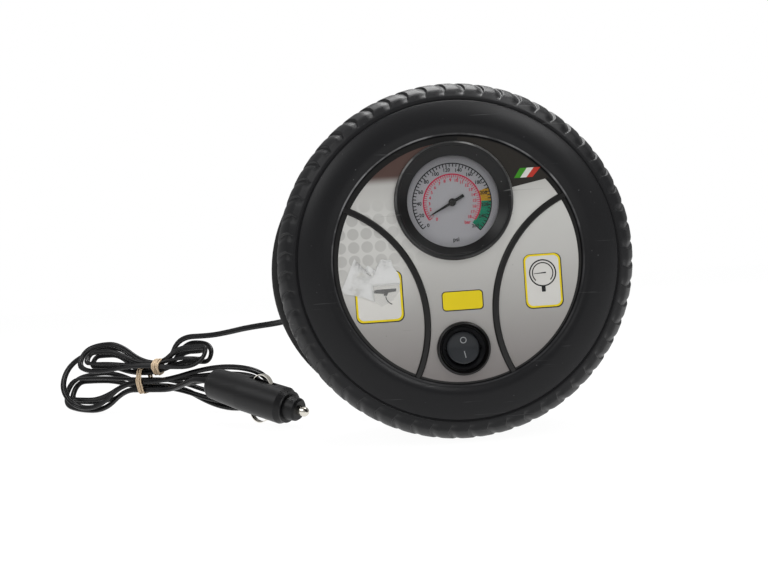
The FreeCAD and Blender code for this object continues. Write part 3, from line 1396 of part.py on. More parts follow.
def hank_stations():
    """The points that the loops pass, each with the direction in which they pass it."""
    ahead, back = ALONG_HANK, -ALONG_HANK
    turns = [(3, 0), (3, 1), (2, 1), (2, 0), (1, 1), (0, 1), (0, 0)]
    stations = [(HANK_MIDDLE + ALONG_HANK * 38 + ACROSS_HANK * 2 + UP * 26, back)]
    for number, (level, ring) in enumerate(turns):
        left = UPPER_LEFT if level > 1 else LOWER_LEFT
        layer = level % 2 - 0.5
        if number:
            right = UPPER_RIGHT if level > 1 else LOWER_RIGHT
            stations.append((right.side(1, False, ring, layer), back))
        stations.append((waist(False, ring, level), back))
        stations.append((left.side(-1, False, ring, layer), back))
        if number == 3:
            stations.append((HANK_MIDDLE + ALONG_HANK * -67 + ACROSS_HANK * -9 + UP * 2,
                             -LOWER_LEFT.sideways()))
            level, ring, layer, left = 1, 0, 0.5, LOWER_LEFT
        else:
            stations.append((left.tip(-1, ring, layer), -left.sideways()))
        stations.append((left.side(-1, True, ring, layer), ahead))
        stations.append((waist(True, ring, level), ahead))
        if number < len(turns) - 1:
            right = UPPER_RIGHT if level > 1 else LOWER_RIGHT
            following = turns[number + 1]
            next_layer = following[0] % 2 - 0.5
            stations.append((right.side(1, True, ring, layer), ahead))
            stations.append((right.tip(1, (ring + following[1]) / 2, (layer + next_layer) / 2),
                             right.sideways()))
    stations.append((stations[-1][0] + ALONG_HANK * 12, ahead))
    return stations


def arc_to(start, way, end):
    """The arc that leaves `start` along `way` and ends at `end`, or a line where it is straight."""
    chord = end - start
    angle = way.getAngle(chord)
    if angle < 1e-4:
        return Part.LineSegment(start, end).toShape()
    outward = way - chord * (way.dot(chord) / chord.dot(chord))
    middle = start + chord / 2 + outward.normalize() * (chord.Length / 2 * math.tan(angle / 2))
    return Part.Arc(start, middle, end).toShape()


def biarc(start, start_way, end, end_way):
    """Two arcs that join two points and keep the direction at each of them."""
    chord = end - start
    both = start_way + end_way
    spread = 2 * (1 - start_way.dot(end_way))
    if spread < 1e-9:
        reach = chord.dot(chord) / (2 * chord.dot(both))
    else:
        run = chord.dot(both)
        reach = (math.sqrt(run * run + spread * chord.dot(chord)) - run) / spread
    first, last = start + start_way * reach, end - end_way * reach
    joint = (first + last) / 2
    joint_way = (last - first).normalize()
    return [arc_to(start, start_way, joint), arc_to(joint, joint_way, end)]


def hank_wire():
    stations = hank_stations()
    edges = []
    for (start, start_way), (end, end_way) in zip(stations, stations[1:]):
        edges += biarc(start, start_way, end, end_way)
    return Part.Wire(edges)


def least_gap(wire, radius, step=2.0, apart=16.0):
    """The least gap between stretches of one tube that lie further apart along it than `apart`."""
    points = []
    travelled = 0.0
    for edge in wire.OrderedEdges:
        count = max(2, math.ceil(edge.Length / step))
        spots = edge.discretize(count + 1)
        if edge.Orientation == "Reversed":
            spots.reverse()
        for number, spot in enumerate(spots[:-1]):
            points.append((travelled + edge.Length * number / count, spot.x, spot.y, spot.z))
        travelled += edge.Length
    least = (1e9, 0, 0)
    for number, (place, x, y, z) in enumerate(points):
        for other, ox, oy, oz in points[number + 1:]:
            if other - place > apart:
                distance = math.sqrt((x - ox) ** 2 + (y - oy) ** 2 + (z - oz) ** 2)
                if distance < least[0]:
                    least = (distance, place, other)
    return least[0] - 2 * radius, least[1], least[2]


HANK_START = hank_stations()[0]
gland_foot = above(*gland_at)
gland_end = gland_foot + GLAND_WAY * float(s.spout_length + s.gland_length)
keep(tube("power_lead", [
    gland_end,
    gland_end + GLAND_WAY * 18,
    Vector(-96.7, 57, 58.2),
    Vector(-120.5, 70.5, 56),
    Vector(-137.5, 84.5, 53),
    HANK_START[0] + ALONG_HANK * 14,
    HANK_START[0],
], s.lead_radius), "power_lead")
hank_path = hank_wire()
hank_gap, hank_from, hank_to = least_gap(hank_path, LEAD)
print("cord_hank length", round(hank_path.Length, 1), "least gap", round(hank_gap, 2),
      "least radius", round(min(edge.Curve.Radius for edge in hank_path.Edges if hasattr(edge.Curve,
                                                                                         "Radius")), 1))
hank = doc.addObject("Part::Feature", "cord_hank")
hank.Shape = pipe(hank_path, LEAD)
keep(hank, "cord_hank")

# Plug: its own z runs from the cord's end to the tip, x upwards.
PLUG_FOOT = Vector(SIZES["plug_x"], SIZES["plug_y"], SIZES["plug_rise"])
plug_heading, plug_dip = math.radians(SIZES["plug_heading"]), math.radians(SIZES["plug_dip"])
PLUG_WAY = Vector(math.cos(plug_heading) * math.cos(plug_dip), math.sin(plug_heading) * math.cos(plug_dip),
                  -math.sin(plug_dip))
PLUG_SIDE = PLUG_WAY.cross(UP).normalize()
PLUG_TOP = PLUG_SIDE.cross(PLUG_WAY)
PLUG_FRAME = Rotation(PLUG_TOP, PLUG_WAY.cross(PLUG_TOP), PLUG_WAY, "ZXY")


def on_plug(item, x=0, y=0, z=0, turn=None):
    axes = (PLUG_TOP, PLUG_WAY.cross(PLUG_TOP), PLUG_WAY)
    spot = [sum((as_size(part) * axis[index] for part, axis in zip((x, y, z), axes)),
                as_size(PLUG_FOOT[index]))
            for index in range(3)]
    return put(item, (spot[0], spot[1], spot[2] - s.tyre_radius), PLUG_FRAME * (turn or Rotation()))


end_place, end_way = hank_stations()[-1]
keep(tube("hank_tail", [
    end_place,
    end_place + end_way * 13,
    Vector(-167, 81, 22),
    PLUG_FOOT - PLUG_WAY * 14,
    PLUG_FOOT,
], s.lead_radius), "hank_tail")
neck = s.plug_radius - 1.5
tip_collar = s.plug_tip_radius + 1
plug_bore = tip_collar + s.running_gap
shell_top = s.plug_body_length
plug_skin = on_plug(turned("plug_skin", [
    (0, 0), (s.plug_rear_radius - 3, 0, s.plug_rear_radius - 0.8, 1.2), (s.plug_rear_radius, 4),
    (s.plug_radius, s.plug_body_length * 0.45), (s.plug_radius, shell_top - 4), (neck, shell_top - 1),
    (neck, shell_top), (0, shell_top),
]))
fuse_hole = on_plug(cylinder("fuse_hole", plug_bore, shell_top - s.fuse_foot + 1, (0, 0, 0)), 0, 0,
                    s.fuse_foot)
slots = [on_plug(block(f"contact_slot_{number}", s.contact_depth, s.contact_width + 0.4,
                       s.contact_length + 6, (0, 0, 0)),
                 side * s.plug_radius - s.contact_depth / 2, -s.contact_width / 2 - 0.2, s.contact_z - 3)
         for number, side in enumerate((-1, 1))]
keep(cut("plug_body", plug_skin, fuse_hole, *slots), "plug_body")
nose_end = s.plug_body_length + s.nose_length
keep(on_plug(turned("plug_nose", [
    (s.plug_tip_radius + s.running_gap, shell_top), (s.nose_radius, shell_top),
    (s.nose_radius - 0.8, nose_end - 1.2), (s.nose_radius - 1.8, nose_end),
    (s.plug_tip_radius + s.running_gap, nose_end),
])), "plug_nose")
tip_end = nose_end + s.plug_tip_reach
keep(on_plug(turned("plug_tip", [
    (0, shell_top - 3), (tip_collar, shell_top - 3), (tip_collar, shell_top - 1), (s.plug_tip_radius,
                                                                                   shell_top - 1),
    (s.plug_tip_radius, tip_end - s.plug_tip_radius * 0.8,
     s.plug_tip_radius * 0.72, tip_end - s.plug_tip_radius * 0.3),
    (s.plug_tip_radius * 0.3, tip_end),
    (0, tip_end),
])), "plug_tip")
fuse_top = shell_top - 3 - s.plug_tip_travel - s.spring_closed
keep(on_plug(turned("plug_fuse", [
    (0, s.fuse_foot), (s.fuse_radius, s.fuse_foot), (s.fuse_radius, s.fuse_foot + s.fuse_cap),
    (s.fuse_radius - 0.3, s.fuse_foot + s.fuse_cap), (s.fuse_radius - 0.3, fuse_top - s.fuse_cap),
    (s.fuse_radius, fuse_top - s.fuse_cap), (s.fuse_radius, fuse_top), (0, fuse_top),
])), "plug_fuse")
coil = spring(s.spring_radius, s.spring_wire, fuse_top + 0.05, shell_top - 3.05, 4)
coil_item = doc.addObject("Part::Feature", "plug_spring")
coil_item.Shape = coil
keep(on_plug(coil_item), "plug_spring")


def contact(number, side):
    """A bowed leaf spring in the plug's side."""
    item = body(f"contact_{number}")
    low, high = s.contact_z, s.contact_z + s.contact_length
    middle = s.contact_z + s.contact_length / 2
    inside = s.plug_radius - s.contact_depth / 2 + s.contact_thick
    pad(item, f"contact_leaf_{number}", [[
        (inside * side, low, (s.plug_radius + s.contact_bow) * side, middle),
        (inside * side, high),
        ((inside - s.contact_thick) * side, high,
         (s.plug_radius + s.contact_bow - s.contact_thick) * side, middle),
        ((inside - s.contact_thick) * side, low),
    ]], -s.contact_width / 2, s.contact_width, "XZ_Plane")
    return on_plug(item)


keep(doc.addObject("Part::Compound", "plug_contacts"), "plug_contacts").Links = [contact(0, -1),
                                                                                 contact(1, 1)]


def band(name, along, low, high, half):
    """A rubber band round the hank's strands: a flat ring across the hank."""
    at = HANK_MIDDLE + ALONG_HANK * (along - SIZES["band_width"] / 2) - UP * float(R)
    turn = Rotation(ACROSS_HANK, UP, ALONG_HANK, "ZXY")
    item = put(doc.addObject("PartDesign::Body", name), (at.x, at.y, as_size(at.z)), turn)
    thick = s.band_thick
    pad(item, name + "_pad", [
        [(-half, low), (half, low), (half, high), (-half, high)],
        [(-half - thick, low - thick), (half + thick, low - thick), (half + thick, high + thick),
         (-half - thick, high + thick)],
    ], 0, s.band_width)
    return item


block_half = 1.5 * WAIST_STEP + SIZES["lead_radius"] + 0.1
bands = [band("tie_band", 0, -block_half, block_half, block_half)]
keep(doc.addObject("Part::Compound", "hank_bands"), "hank_bands").Links = bands

# Wires inside the housing: lead to switch, switch to motor.
lead_inside = gland_foot - GLAND_WAY * 2 - Vector(0, 0, float(R))
switch_back = -(ledge - s.switch_depth) + 8


def wire_along(points, radius):
    return pipe(rounded_route([above(*point) for point in points], "wire"), radius)


loose = doc.addObject("Part::Feature", "wiring")
loose.Shape = Part.makeCompound([
    wire_along([(lead_inside.x, lead_inside.y, lead_inside.z), (-19, 20.4, -11), (-8, 17, -22),
                (0, 9, -35.5), (0, float(switch_back), -35.5)], float(s.wire_radius)),
    wire_along([(0, float(switch_back), -40.5), (0, 8, -40.5), (8, 12, -20), (14, 8, -2), (22, 2, 8),
                (25, -2.5, 18), (float(cap_left + s.tab_length), -2.5, 18)], float(s.wire_radius)),
])
keep(loose, "wiring")

doc.recompute()
for item in doc.Objects:
    if "Invalid" in item.State or "Error" in item.State:
        raise RuntimeError(f"{item.Label} did not compute")
os.makedirs("parts", exist_ok=True)
for item in PIECES:
    if item.Shape.isNull() or not item.Shape.isValid() or not item.Shape.Solids:
        raise RuntimeError(f"{item.Label} has no valid solid")
    item.Shape.exportStep(f"parts/{item.Label}.step")
print(len(PIECES), "pieces written")
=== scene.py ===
# %% [markdown]
# # A tyre inflator shaped like a small wheel
# The real object is a small 12 volt compressor inside two black plastic shells that look like a
# tyre. Its front is a printed panel with a pressure gauge and a round rocker switch. The supply
# lead comes out at the back and lies tied in a hank, with its plug in front of it. The measured
# model gives every size; the cells below dress it. First it is loaded.

# %% Load the measured model
import cmath
import math

import bmesh
import bpy
from mathutils import Matrix, Vector


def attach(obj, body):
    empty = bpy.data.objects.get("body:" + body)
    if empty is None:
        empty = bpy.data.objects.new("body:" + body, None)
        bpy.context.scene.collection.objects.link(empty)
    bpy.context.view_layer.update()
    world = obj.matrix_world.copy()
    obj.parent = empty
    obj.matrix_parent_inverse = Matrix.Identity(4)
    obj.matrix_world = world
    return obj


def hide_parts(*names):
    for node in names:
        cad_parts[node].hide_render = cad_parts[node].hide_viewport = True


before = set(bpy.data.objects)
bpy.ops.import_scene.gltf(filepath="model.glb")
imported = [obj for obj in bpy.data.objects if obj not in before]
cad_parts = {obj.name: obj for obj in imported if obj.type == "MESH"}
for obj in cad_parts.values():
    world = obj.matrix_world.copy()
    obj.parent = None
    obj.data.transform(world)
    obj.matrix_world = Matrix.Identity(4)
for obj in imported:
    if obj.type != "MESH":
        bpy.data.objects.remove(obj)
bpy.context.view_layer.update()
MM = 0.001
WHEEL = 85.0
GAUGE_Z = 27.0
SWITCH_Z = -40.5
UP = Vector((0, 0, 1))
print("pieces in the measured model:", len(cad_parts))


def place(x, y, z):
    """A point in metres from millimetres, its height counted from the middle of the wheel."""
    return Vector((x * MM, y * MM, (z + WHEEL) * MM))


def around(radius, degrees, x=0.0, z=0.0):
    """A flat point on a circle round (x, z), at an angle from its right."""
    angle = math.radians(degrees)
    return x + radius * math.cos(angle), z + radius * math.sin(angle)


def spaced(first, last, steps):
    """Evenly spaced values from the first to the last, both of them there."""
    return [first + (last - first) * step / steps for step in range(steps + 1)]


def shown(name, data):
    """A new object in the scene."""
    item = bpy.data.objects.new(name, data)
    bpy.context.scene.collection.objects.link(item)
    return item


# %% [markdown]
# ## The camera
# The photograph was taken from a little left of the wheel and a little below its middle, with the
# camera held level but rolled by four degrees. A picture's roll belongs in the camera, so the
# object can stand upright on its floor.

# %% Camera
ROLL = math.radians(4)
SENSOR, PICTURE_WIDTH, PICTURE_HEIGHT = 36, 768, 577
camera_data = bpy.data.cameras.new("photo_camera")
camera_data.sensor_width = SENSOR
camera_data.lens = SENSOR * PICTURE_HEIGHT / PICTURE_WIDTH
camera_data.clip_start = 0.01
camera = shown("photo_camera", camera_data)
right = Vector((math.cos(ROLL), 0, -math.sin(ROLL)))
up = Vector((math.sin(ROLL), 0, math.cos(ROLL)))
camera.matrix_world = Matrix((right, up, Vector((0, -1, 0)))).transposed().to_4x4()
camera.location = (-0.0344, -0.291, 0.0743)
bpy.context.scene.camera = camera
print("lens", round(camera_data.lens, 2), "mm")

# %% [markdown]
# ## Small helpers for node trees
# A node tree is easier to read as sums than as boxes. A `Value` is one output of a node, and
# Python's own signs on it add the maths nodes. `Tree` adds all other nodes and their links, so
# that each effect below is a few lines long.


# %% Node helpers
class Value:
    """One output of a node; the usual signs between values add maths nodes."""

    def __init__(self, tree, socket):
        self.tree, self.socket = tree, socket


SIGNS = {"add": "ADD", "sub": "SUBTRACT", "mul": "MULTIPLY", "truediv": "DIVIDE"}
for sign, operation in SIGNS.items():
    setattr(Value, f"__{sign}__", lambda one, other, kind=operation: one.tree.math(kind, one, other))
    setattr(Value, f"__r{sign}__", lambda one, other, kind=operation: one.tree.math(kind, other, one))


class Tree:
    """Adds nodes to a node tree; a value or a plain number can feed any input."""

    def __init__(self, tree):
        self.tree = tree

    def feed(self, socket, value):
        if isinstance(value, Value):
            self.tree.links.new(value.socket, socket)
        else:
            socket.default_value = (*value, 1.0) if socket.type == "RGBA" else value

    def fill(self, sockets, values):
        for key, value in values.items():
            self.feed(sockets[key], value)

    def node(self, kind, inputs, **settings):
        item = self.tree.nodes.new(kind)
        for name, value in settings.items():
            setattr(item, name, value)
        self.fill(item.inputs, inputs)
        return item

    def get(self, kind, output, inputs=None, **settings):
        return Value(self, self.node(kind, inputs or {}, **settings).outputs[output])

    def group(self, name, **inputs):
        """A shared group with its inputs set; its outputs by name."""
        item = self.node("ShaderNodeGroup", inputs, node_tree=bpy.data.node_groups[name])
        return {socket.name: Value(self, socket) for socket in item.outputs}

    def math(self, operation, first, second=0.0, clamp=False):
        return self.get("ShaderNodeMath", 0, {0: first, 1: second}, operation=operation, use_clamp=clamp)

    def most(self, first, *others):
        for other in others:
            first = self.math("MAXIMUM", first, other)
        return first

    def reach(self, first, second):
        """The length of two parts at a right angle."""
        return self.math("SQRT", first * first + second * second)

    def ramp(self, value, low, high, to_low=0.0, to_high=1.0):
        """The value's way from low to high, eased and held at both ends."""
        return self.get("ShaderNodeMapRange", "Result", {
            "Value": value, "From Min": low, "From Max": high, "To Min": to_low, "To Max": to_high,
        }, interpolation_type="SMOOTHSTEP")

    def mix(self, share, first, second):
        return self.get("ShaderNodeMix", 2, {0: share, 6: first, 7: second}, data_type="RGBA")

    def here(self):
        return self.get("ShaderNodeTexCoord", "Object")

    def axes(self, vector):
        item = self.node("ShaderNodeSeparateXYZ", {0: vector})
        return [Value(self, socket) for socket in item.outputs]

    def vector(self, x, y, z):
        return self.get("ShaderNodeCombineXYZ", 0, {0: x, 1: y, 2: z})

    def noise(self, where, scale, detail=2.0, **more):
        inputs = {"Vector": where, "Scale": scale, "Detail": detail, **more}
        return self.get("ShaderNodeTexNoise", "Fac", inputs)

    def bump(self, height, strength, distance):
        inputs = {"Height": height, "Strength": strength, "Distance": distance}
        return self.get("ShaderNodeBump", "Normal", inputs)


KINDS = {float: "Float", int: "Int", type(None): "Material", str: "Geometry"}


def new_group(name, inputs, *outputs):
    """A group with named inputs and outputs; one that takes a geometry is a Geometry Nodes tree."""
    family, result = ("Geometry", "Geometry") if "Geometry" in inputs else ("Shader", "Float")
    tree = bpy.data.node_groups.new(name, family + "NodeTree")
    for label, default in inputs.items():
        kind = "NodeSocket" + KINDS[type(default)]
        socket = tree.interface.new_socket(label, in_out="INPUT", socket_type=kind)
        if default:
            socket.default_value = default
    for label in outputs:
        tree.interface.new_socket(label, in_out="OUTPUT", socket_type="NodeSocket" + result)
    build = Tree(tree)
    start, end = build.node("NodeGroupInput", {}), build.node("NodeGroupOutput", {})
    return build, {socket.name: Value(build, socket) for socket in start.outputs}, end.inputs


# %% [markdown]
# ## Shared surface effects
# Moulded plastic is never perfectly even: it has a fine grain from the mould, thin pale
# scratches, and specks of dust that stay in the grain. Each effect is one node group, built once
# and placed in many materials with other values.

# %% Grain of moulded plastic
build, given, end = new_group("mould_grain", {"Size": 0.5, "Unevenness": 0.5}, "Height", "Shade")
where = build.here()
build.feed(end["Height"], build.noise(where, 1000.0 / given["Size"], 3.0))
uneven = (build.noise(where, 38.0, 4.0) - 0.5) * given["Unevenness"]
build.feed(end["Shade"], build.math("ADD", uneven, 0.5, clamp=True))

# %% Scratches and dust
build, given, end = new_group("scuffs", {"Amount": 0.3, "Specks": 0.3}, "Mask")
where = build.here()
lines = []
for number, turn in enumerate((0.5, 1.9, 2.7)):
    aligned = build.get("ShaderNodeMapping", 0, {"Vector": where, "Rotation": (0.0, turn, 0.0),
                                                 "Scale": (9.0, 30.0, 900.0)})
    lines.append(build.ramp(build.noise(aligned, 1.0 + number * 0.3, 1.0), 0.735, 0.765))
scratch = build.most(*lines) * build.ramp(build.noise(where, 55.0), 0.5, 0.62)
cells = build.get("ShaderNodeTexVoronoi", "Distance", {"Vector": where, "Scale": 260.0})
speck = build.ramp(cells, 0.03, 0.1, 1.0, 0.0) * build.ramp(build.noise(where, 120.0), 0.56, 0.62)
build.feed(end["Mask"], build.math("ADD", scratch * given["Amount"], speck * given["Specks"], clamp=True))

# %% Worn rings with painted highlights
# Thin pale rings, broken like wear and fuller towards the top: partly wear, partly painted highlight.
build, given, end = new_group("worn_ring", {"Radius": 0.057, "Width": 0.0005, "Height": WHEEL * MM}, "Mask")
where = build.here()
x, y, z = build.axes(where)
rise = z - given["Height"]
away = build.math("ABSOLUTE", build.reach(x, rise) - given["Radius"])
line = build.ramp(away, given["Width"] * 0.3, given["Width"], 1.0, 0.0)
broken = build.ramp(build.noise(where, 75.0, 4.0), 0.4, 0.62, 0.15, 1.0)
# Painted highlight: the ring is faint low down and full towards the top.
painted_top_highlight = build.ramp(rise, given["Radius"] * -0.3, given["Radius"] * 0.75, 0.12, 1.0)
in_front = build.math("LESS_THAN", y, -0.025)
build.feed(end["Mask"], line * in_front * broken * painted_top_highlight)
print("shared effects:", len(bpy.data.node_groups))


# %% [markdown]
# ## Materials
# Most finishes differ only in colour, gloss and grain, so one function builds them: a colour with
# mottling from the grain group, pale scuffs on top, and a bump. Metals use the same function with
# their metallic value. Colours are linear, as the shader wants them.

# %% One function for the plain finishes
def new_material(name):
    """A material, its tree, and the inputs of its shader."""
    material = bpy.data.materials.new(name)
    material.use_nodes = True
    return material, Tree(material.node_tree), material.node_tree.nodes["Principled BSDF"].inputs


def finish(name, colour, roughness, grain=0.5, bump=0.1, metallic=0.0, scuff=0.2, specks=0.2,
           pale=None, mottle=0.5, shine=0.3, rings=()):
    """A material with grain, mottling, scuffs, and rings that are partly wear and partly painted highlight,
    over one colour.
    """
    material, tree, shader = new_material(name)
    texture = tree.group("mould_grain", Size=grain, Unevenness=mottle)
    mask = tree.group("scuffs", Amount=scuff, Specks=specks)["Mask"]
    for radius, width, height, amount in rings:
        ring = tree.group("worn_ring", Radius=radius, Width=width, Height=height)
        mask = tree.most(mask, ring["Mask"] * amount)
    dark, light = ([min(1.0, part * share) for part in colour] for share in (0.8, 1.2))
    worn = pale or [min(1.0, part * 3 + 0.05) for part in colour]
    tree.fill(shader, {
        "Base Color": tree.mix(mask, tree.mix(texture["Shade"], dark, light), worn),
        "Roughness": texture["Shade"] * 0.12 + (roughness - 0.06),
        "Metallic": metallic,
        "Specular IOR Level": shine,
        "Normal": tree.bump(texture["Height"], bump, 0.0002),
    })
    return material


def ink(name, colour, roughness, scuff=0.0, specks=0.2):
    """A flat ink without a bump."""
    return finish(name, colour, roughness, bump=0.0, scuff=scuff, specks=specks)


# %% The object's plain finishes
# Pale rings on the wheel's lip and the gauge ring's top edge: partly wear, partly painted highlight.
LIP = (0.0572, 0.0005, WHEEL * MM, 0.75)
GAUGE_EDGE = (0.0264, 0.0007, (WHEEL + GAUGE_Z) * MM, 0.95)
SHELL = finish("shell_plastic", (0.0062, 0.0063, 0.0074), 0.42, grain=0.35, bump=0.16, scuff=0.15,
               specks=0.25, pale=(0.24, 0.24, 0.245), shine=0.24, rings=(LIP,))
PANEL = finish("panel_plastic", (0.0052, 0.0048, 0.0046), 0.3, grain=0.3, bump=0.05, shine=0.35)
BEZEL = finish("bezel_plastic", (0.0048, 0.0048, 0.0052), 0.36, grain=0.25, bump=0.05, scuff=0.4,
               specks=0.5, pale=(0.24, 0.24, 0.235), rings=(GAUGE_EDGE,))
SWITCH = finish("switch_plastic", (0.0052, 0.0054, 0.0062), 0.34, grain=0.25, bump=0.04, scuff=0.05)
ROCKER = finish("rocker_plastic", (0.0165, 0.019, 0.0225), 0.4, grain=0.3, bump=0.05, scuff=0.05,
                shine=0.4)
COVER = finish("cover_plastic", (0.0085, 0.0085, 0.009), 0.5, grain=0.4, bump=0.12)
PLUG = finish("plug_plastic", (0.0052, 0.0052, 0.006), 0.42, grain=0.3, scuff=0.15)
RUBBER = finish("hose_rubber", (0.007, 0.007, 0.007), 0.55, grain=0.3)
FLEX = finish("flex_pvc", (0.0034, 0.0034, 0.0044), 0.27, grain=0.6, bump=0.03, scuff=0.05, shine=0.32)
STEEL = finish("turned_steel", (0.55, 0.55, 0.56), 0.32, metallic=1.0, grain=0.2, bump=0.04)
ALLOY = finish("cast_alloy", (0.6, 0.6, 0.6), 0.42, metallic=1.0, grain=0.4, bump=0.12)
BRASS = finish("turned_brass", (0.66, 0.45, 0.17), 0.3, metallic=1.0, grain=0.2, bump=0.03)
CHROME = finish("plated_steel", (0.74, 0.71, 0.64), 0.18, metallic=1.0, grain=0.2, bump=0.02, scuff=0.1)
NYLON = finish("white_nylon", (0.72, 0.7, 0.64), 0.45, grain=0.3, bump=0.05, pale=(0.8, 0.8, 0.78))
MAGNET = finish("magnet_ferrite", (0.03, 0.03, 0.032), 0.7, grain=0.4, bump=0.2)
TUBING = finish("inner_tubing", (0.3, 0.32, 0.33), 0.35, grain=0.4, bump=0.03)
NEEDLE = finish("needle_paint", (0.012, 0.011, 0.01), 0.5, grain=0.3, bump=0.05, scuff=0.0)
BAND = finish("rubber_band", (0.56, 0.43, 0.29), 0.6, grain=0.35, bump=0.2, pale=(0.72, 0.6, 0.45),
              mottle=1.0)
INK_BLACK = ink("ink_black", (0.008, 0.008, 0.009), 0.55, specks=0.0)
INK_RED = ink("ink_red", (0.42, 0.012, 0.045), 0.55, specks=0.0)
INK_AMBER = ink("ink_amber", (0.36, 0.19, 0.003), 0.5)
INK_GREEN = ink("ink_green", (0.0005, 0.15, 0.078), 0.5)
INK_YELLOW = ink("ink_yellow", (0.7, 0.55, 0.006), 0.4, scuff=0.05)
INK_WHITE = ink("ink_white", (0.6, 0.59, 0.56), 0.4, scuff=0.05)
# Olive ink of the print, also used for the painted shadows under the side badges.
INK_OLIVE_AND_PAINTED_SHADOW = ink("ink_olive", (0.018, 0.0155, 0.0125), 0.35, scuff=0.2)
INK_LEAF = ink("ink_leaf", (0.035, 0.22, 0.01), 0.4)
INK_SCARLET = ink("ink_scarlet", (0.42, 0.03, 0.018), 0.4)
MARK_WHITE = ink("switch_marks", (0.33, 0.34, 0.35), 0.5)
print("plain finishes:", len(bpy.data.materials))

# %% [markdown]
# ## The printed panel
# The panel is a silver-grey print with a satin sheen and a field of round dots that fades out
# towards the right. Its tone carries painted light: painted shade makes it warmer and darker at
# the foot, painted light makes it lighter towards the top, a painted highlight lies on its left,
# painted shade darkens its top, and a brown painted reflection fills its upper left corner. Dots
# on a grid need no picture: the fraction of a position divided by the pitch gives each cell its own
# coordinates, and the distance to the cell's middle gives the dot.

# %% Dots on a grid
build, given, end = new_group("printed_dots", {"Pitch": 0.006, "Radius": 0.0026}, "Mask")
x, y, z = build.axes(build.here())
cells = [(build.math("FRACT", (part + shift) / given["Pitch"]) - 0.5) * given["Pitch"]
         for part, shift in ((x, 0.0011), (z, 0.0009))]
build.feed(end["Mask"], build.ramp(given["Radius"] - build.reach(*cells), -0.0002, 0.0002))

# %% Silver print with painted light
PRINT, tree, shader = new_material("silver_print")
where = tree.here()
x, y, z = tree.axes(where)
rise = z - WHEEL * MM
# Painted shade and light: darker and warmer at the foot, lighter towards the top.
silver_with_painted_light = tree.mix(tree.ramp(rise, -0.075, 0.035), (0.142, 0.125, 0.122), (0.6, 0.598, 0.572))
# Painted highlight: a pale patch on the left.
painted_highlight = tree.ramp(tree.reach(x + 0.042, rise - 0.002), 0.008, 0.032, 0.6, 0.0)
silver_with_painted_light = tree.mix(painted_highlight, silver_with_painted_light, (0.64, 0.635, 0.61))
# Painted shade: darker and warmer along the top.
silver_with_painted_light = tree.mix(tree.ramp(rise, 0.02, 0.037, 0.0, 0.3), silver_with_painted_light, (0.2, 0.18, 0.17))
# Painted reflection: brown in the upper left corner.
corner = tree.ramp(rise, 0.0355, 0.0405) * tree.ramp(x, -0.004, 0.012, 1.0, 0.0)
silver_with_painted_light = tree.mix(corner, silver_with_painted_light, (0.082, 0.046, 0.038))
fade_right = tree.ramp(x, -0.046, -0.006, 1.0, 0.0)
fade_up = tree.ramp(tree.math("ABSOLUTE", rise - 0.011), 0.008, 0.021, 1.0, 0.0)
dots = tree.group("printed_dots", Pitch=0.0061, Radius=0.00262)["Mask"]
silver_with_painted_light = tree.mix(dots * fade_right * fade_up * 0.5, silver_with_painted_light, (0.34, 0.335, 0.32))
worn = tree.group("scuffs", Amount=0.25, Specks=0.5)["Mask"]
flow = tree.noise(where, 60.0, 3.0)
tree.fill(shader, {
    "Base Color": tree.mix(worn, silver_with_painted_light, (0.14, 0.13, 0.12)),
    "Roughness": tree.ramp(flow, 0.2, 0.8, 0.27, 0.4),
    "Metallic": 0.25,
    "Normal": tree.bump(flow, 0.08, 0.0006),
})

# %% [markdown]
# ## Clear materials and the dial's paint
# The gauge has a clear plastic lens, and a torn strip of clear tape still sticks to the panel:
# a milky film, clearer at its lower right, that lets the print through. The dial is a pale grey
# paint.

# %% Lens, tape and dial paint
LENS, tree, shader = new_material("lens_plastic")
tree.fill(shader, {"Base Color": (0.97, 0.98, 0.99), "Transmission Weight": 1.0, "IOR": 1.12,
                   "Roughness": tree.ramp(tree.noise(tree.here(), 90.0, 3.0), 0.4, 0.8, 0.0, 0.06)})

TAPE, tree, shader = new_material("torn_tape")
where = tree.here()
x, y, z = tree.axes(where)
cloud = tree.noise(where, 95.0, 4.0, Roughness=0.55)
milky = tree.most(tree.ramp(z, 0.0745, 0.0775), tree.ramp(x, -0.041, -0.038, 1.0, 0.0))
tree.fill(shader, {
    "Base Color": tree.mix(cloud, (0.56, 0.56, 0.545), (0.7, 0.705, 0.7)),
    "Alpha": tree.ramp(cloud, 0.3, 0.55, 0.66, 0.97) * tree.ramp(milky, 0.0, 1.0, 0.22, 1.0),
    "Roughness": tree.ramp(cloud, 0.3, 0.7, 0.2, 0.45),
    "Normal": tree.bump(tree.noise(where, 260.0, 4.0), 0.35, 0.0006),
})
DIAL = finish("dial_paint", (0.3, 0.292, 0.3), 0.5, bump=0.02, scuff=0.0, specks=0.12,
              pale=(0.2, 0.2, 0.2), mottle=0.25)
print("all materials:", len(bpy.data.materials))


# %% [markdown]
# ## Helpers for pieces
# Every finished piece is a mesh at the origin with its place in its points. One helper makes the
# mesh, gives it its finish, and says which moving body carries it. Nearly all of them are made of
# rings of points that follow each other, so the faces between such rings have a helper too.

# %% Piece helpers
def piece(name, points, faces, material, body="housing", smooth=True, outward=False):
    """A mesh piece from points in metres, riding on a body."""
    mesh = bpy.data.meshes.new(name)
    mesh.from_pydata([tuple(point) for point in points], [], faces)
    if outward:
        shape = bmesh.new()
        shape.from_mesh(mesh)
        bmesh.ops.recalc_face_normals(shape, faces=shape.faces)
        shape.to_mesh(mesh)
        shape.free()
    return dress(shown(name, mesh), material, body, smooth=smooth)


def dress(item, material, body="housing", smooth=True):
    item.data.materials.clear()
    item.data.materials.append(material)
    if smooth:
        item.data.shade_smooth()
    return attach(item, body)


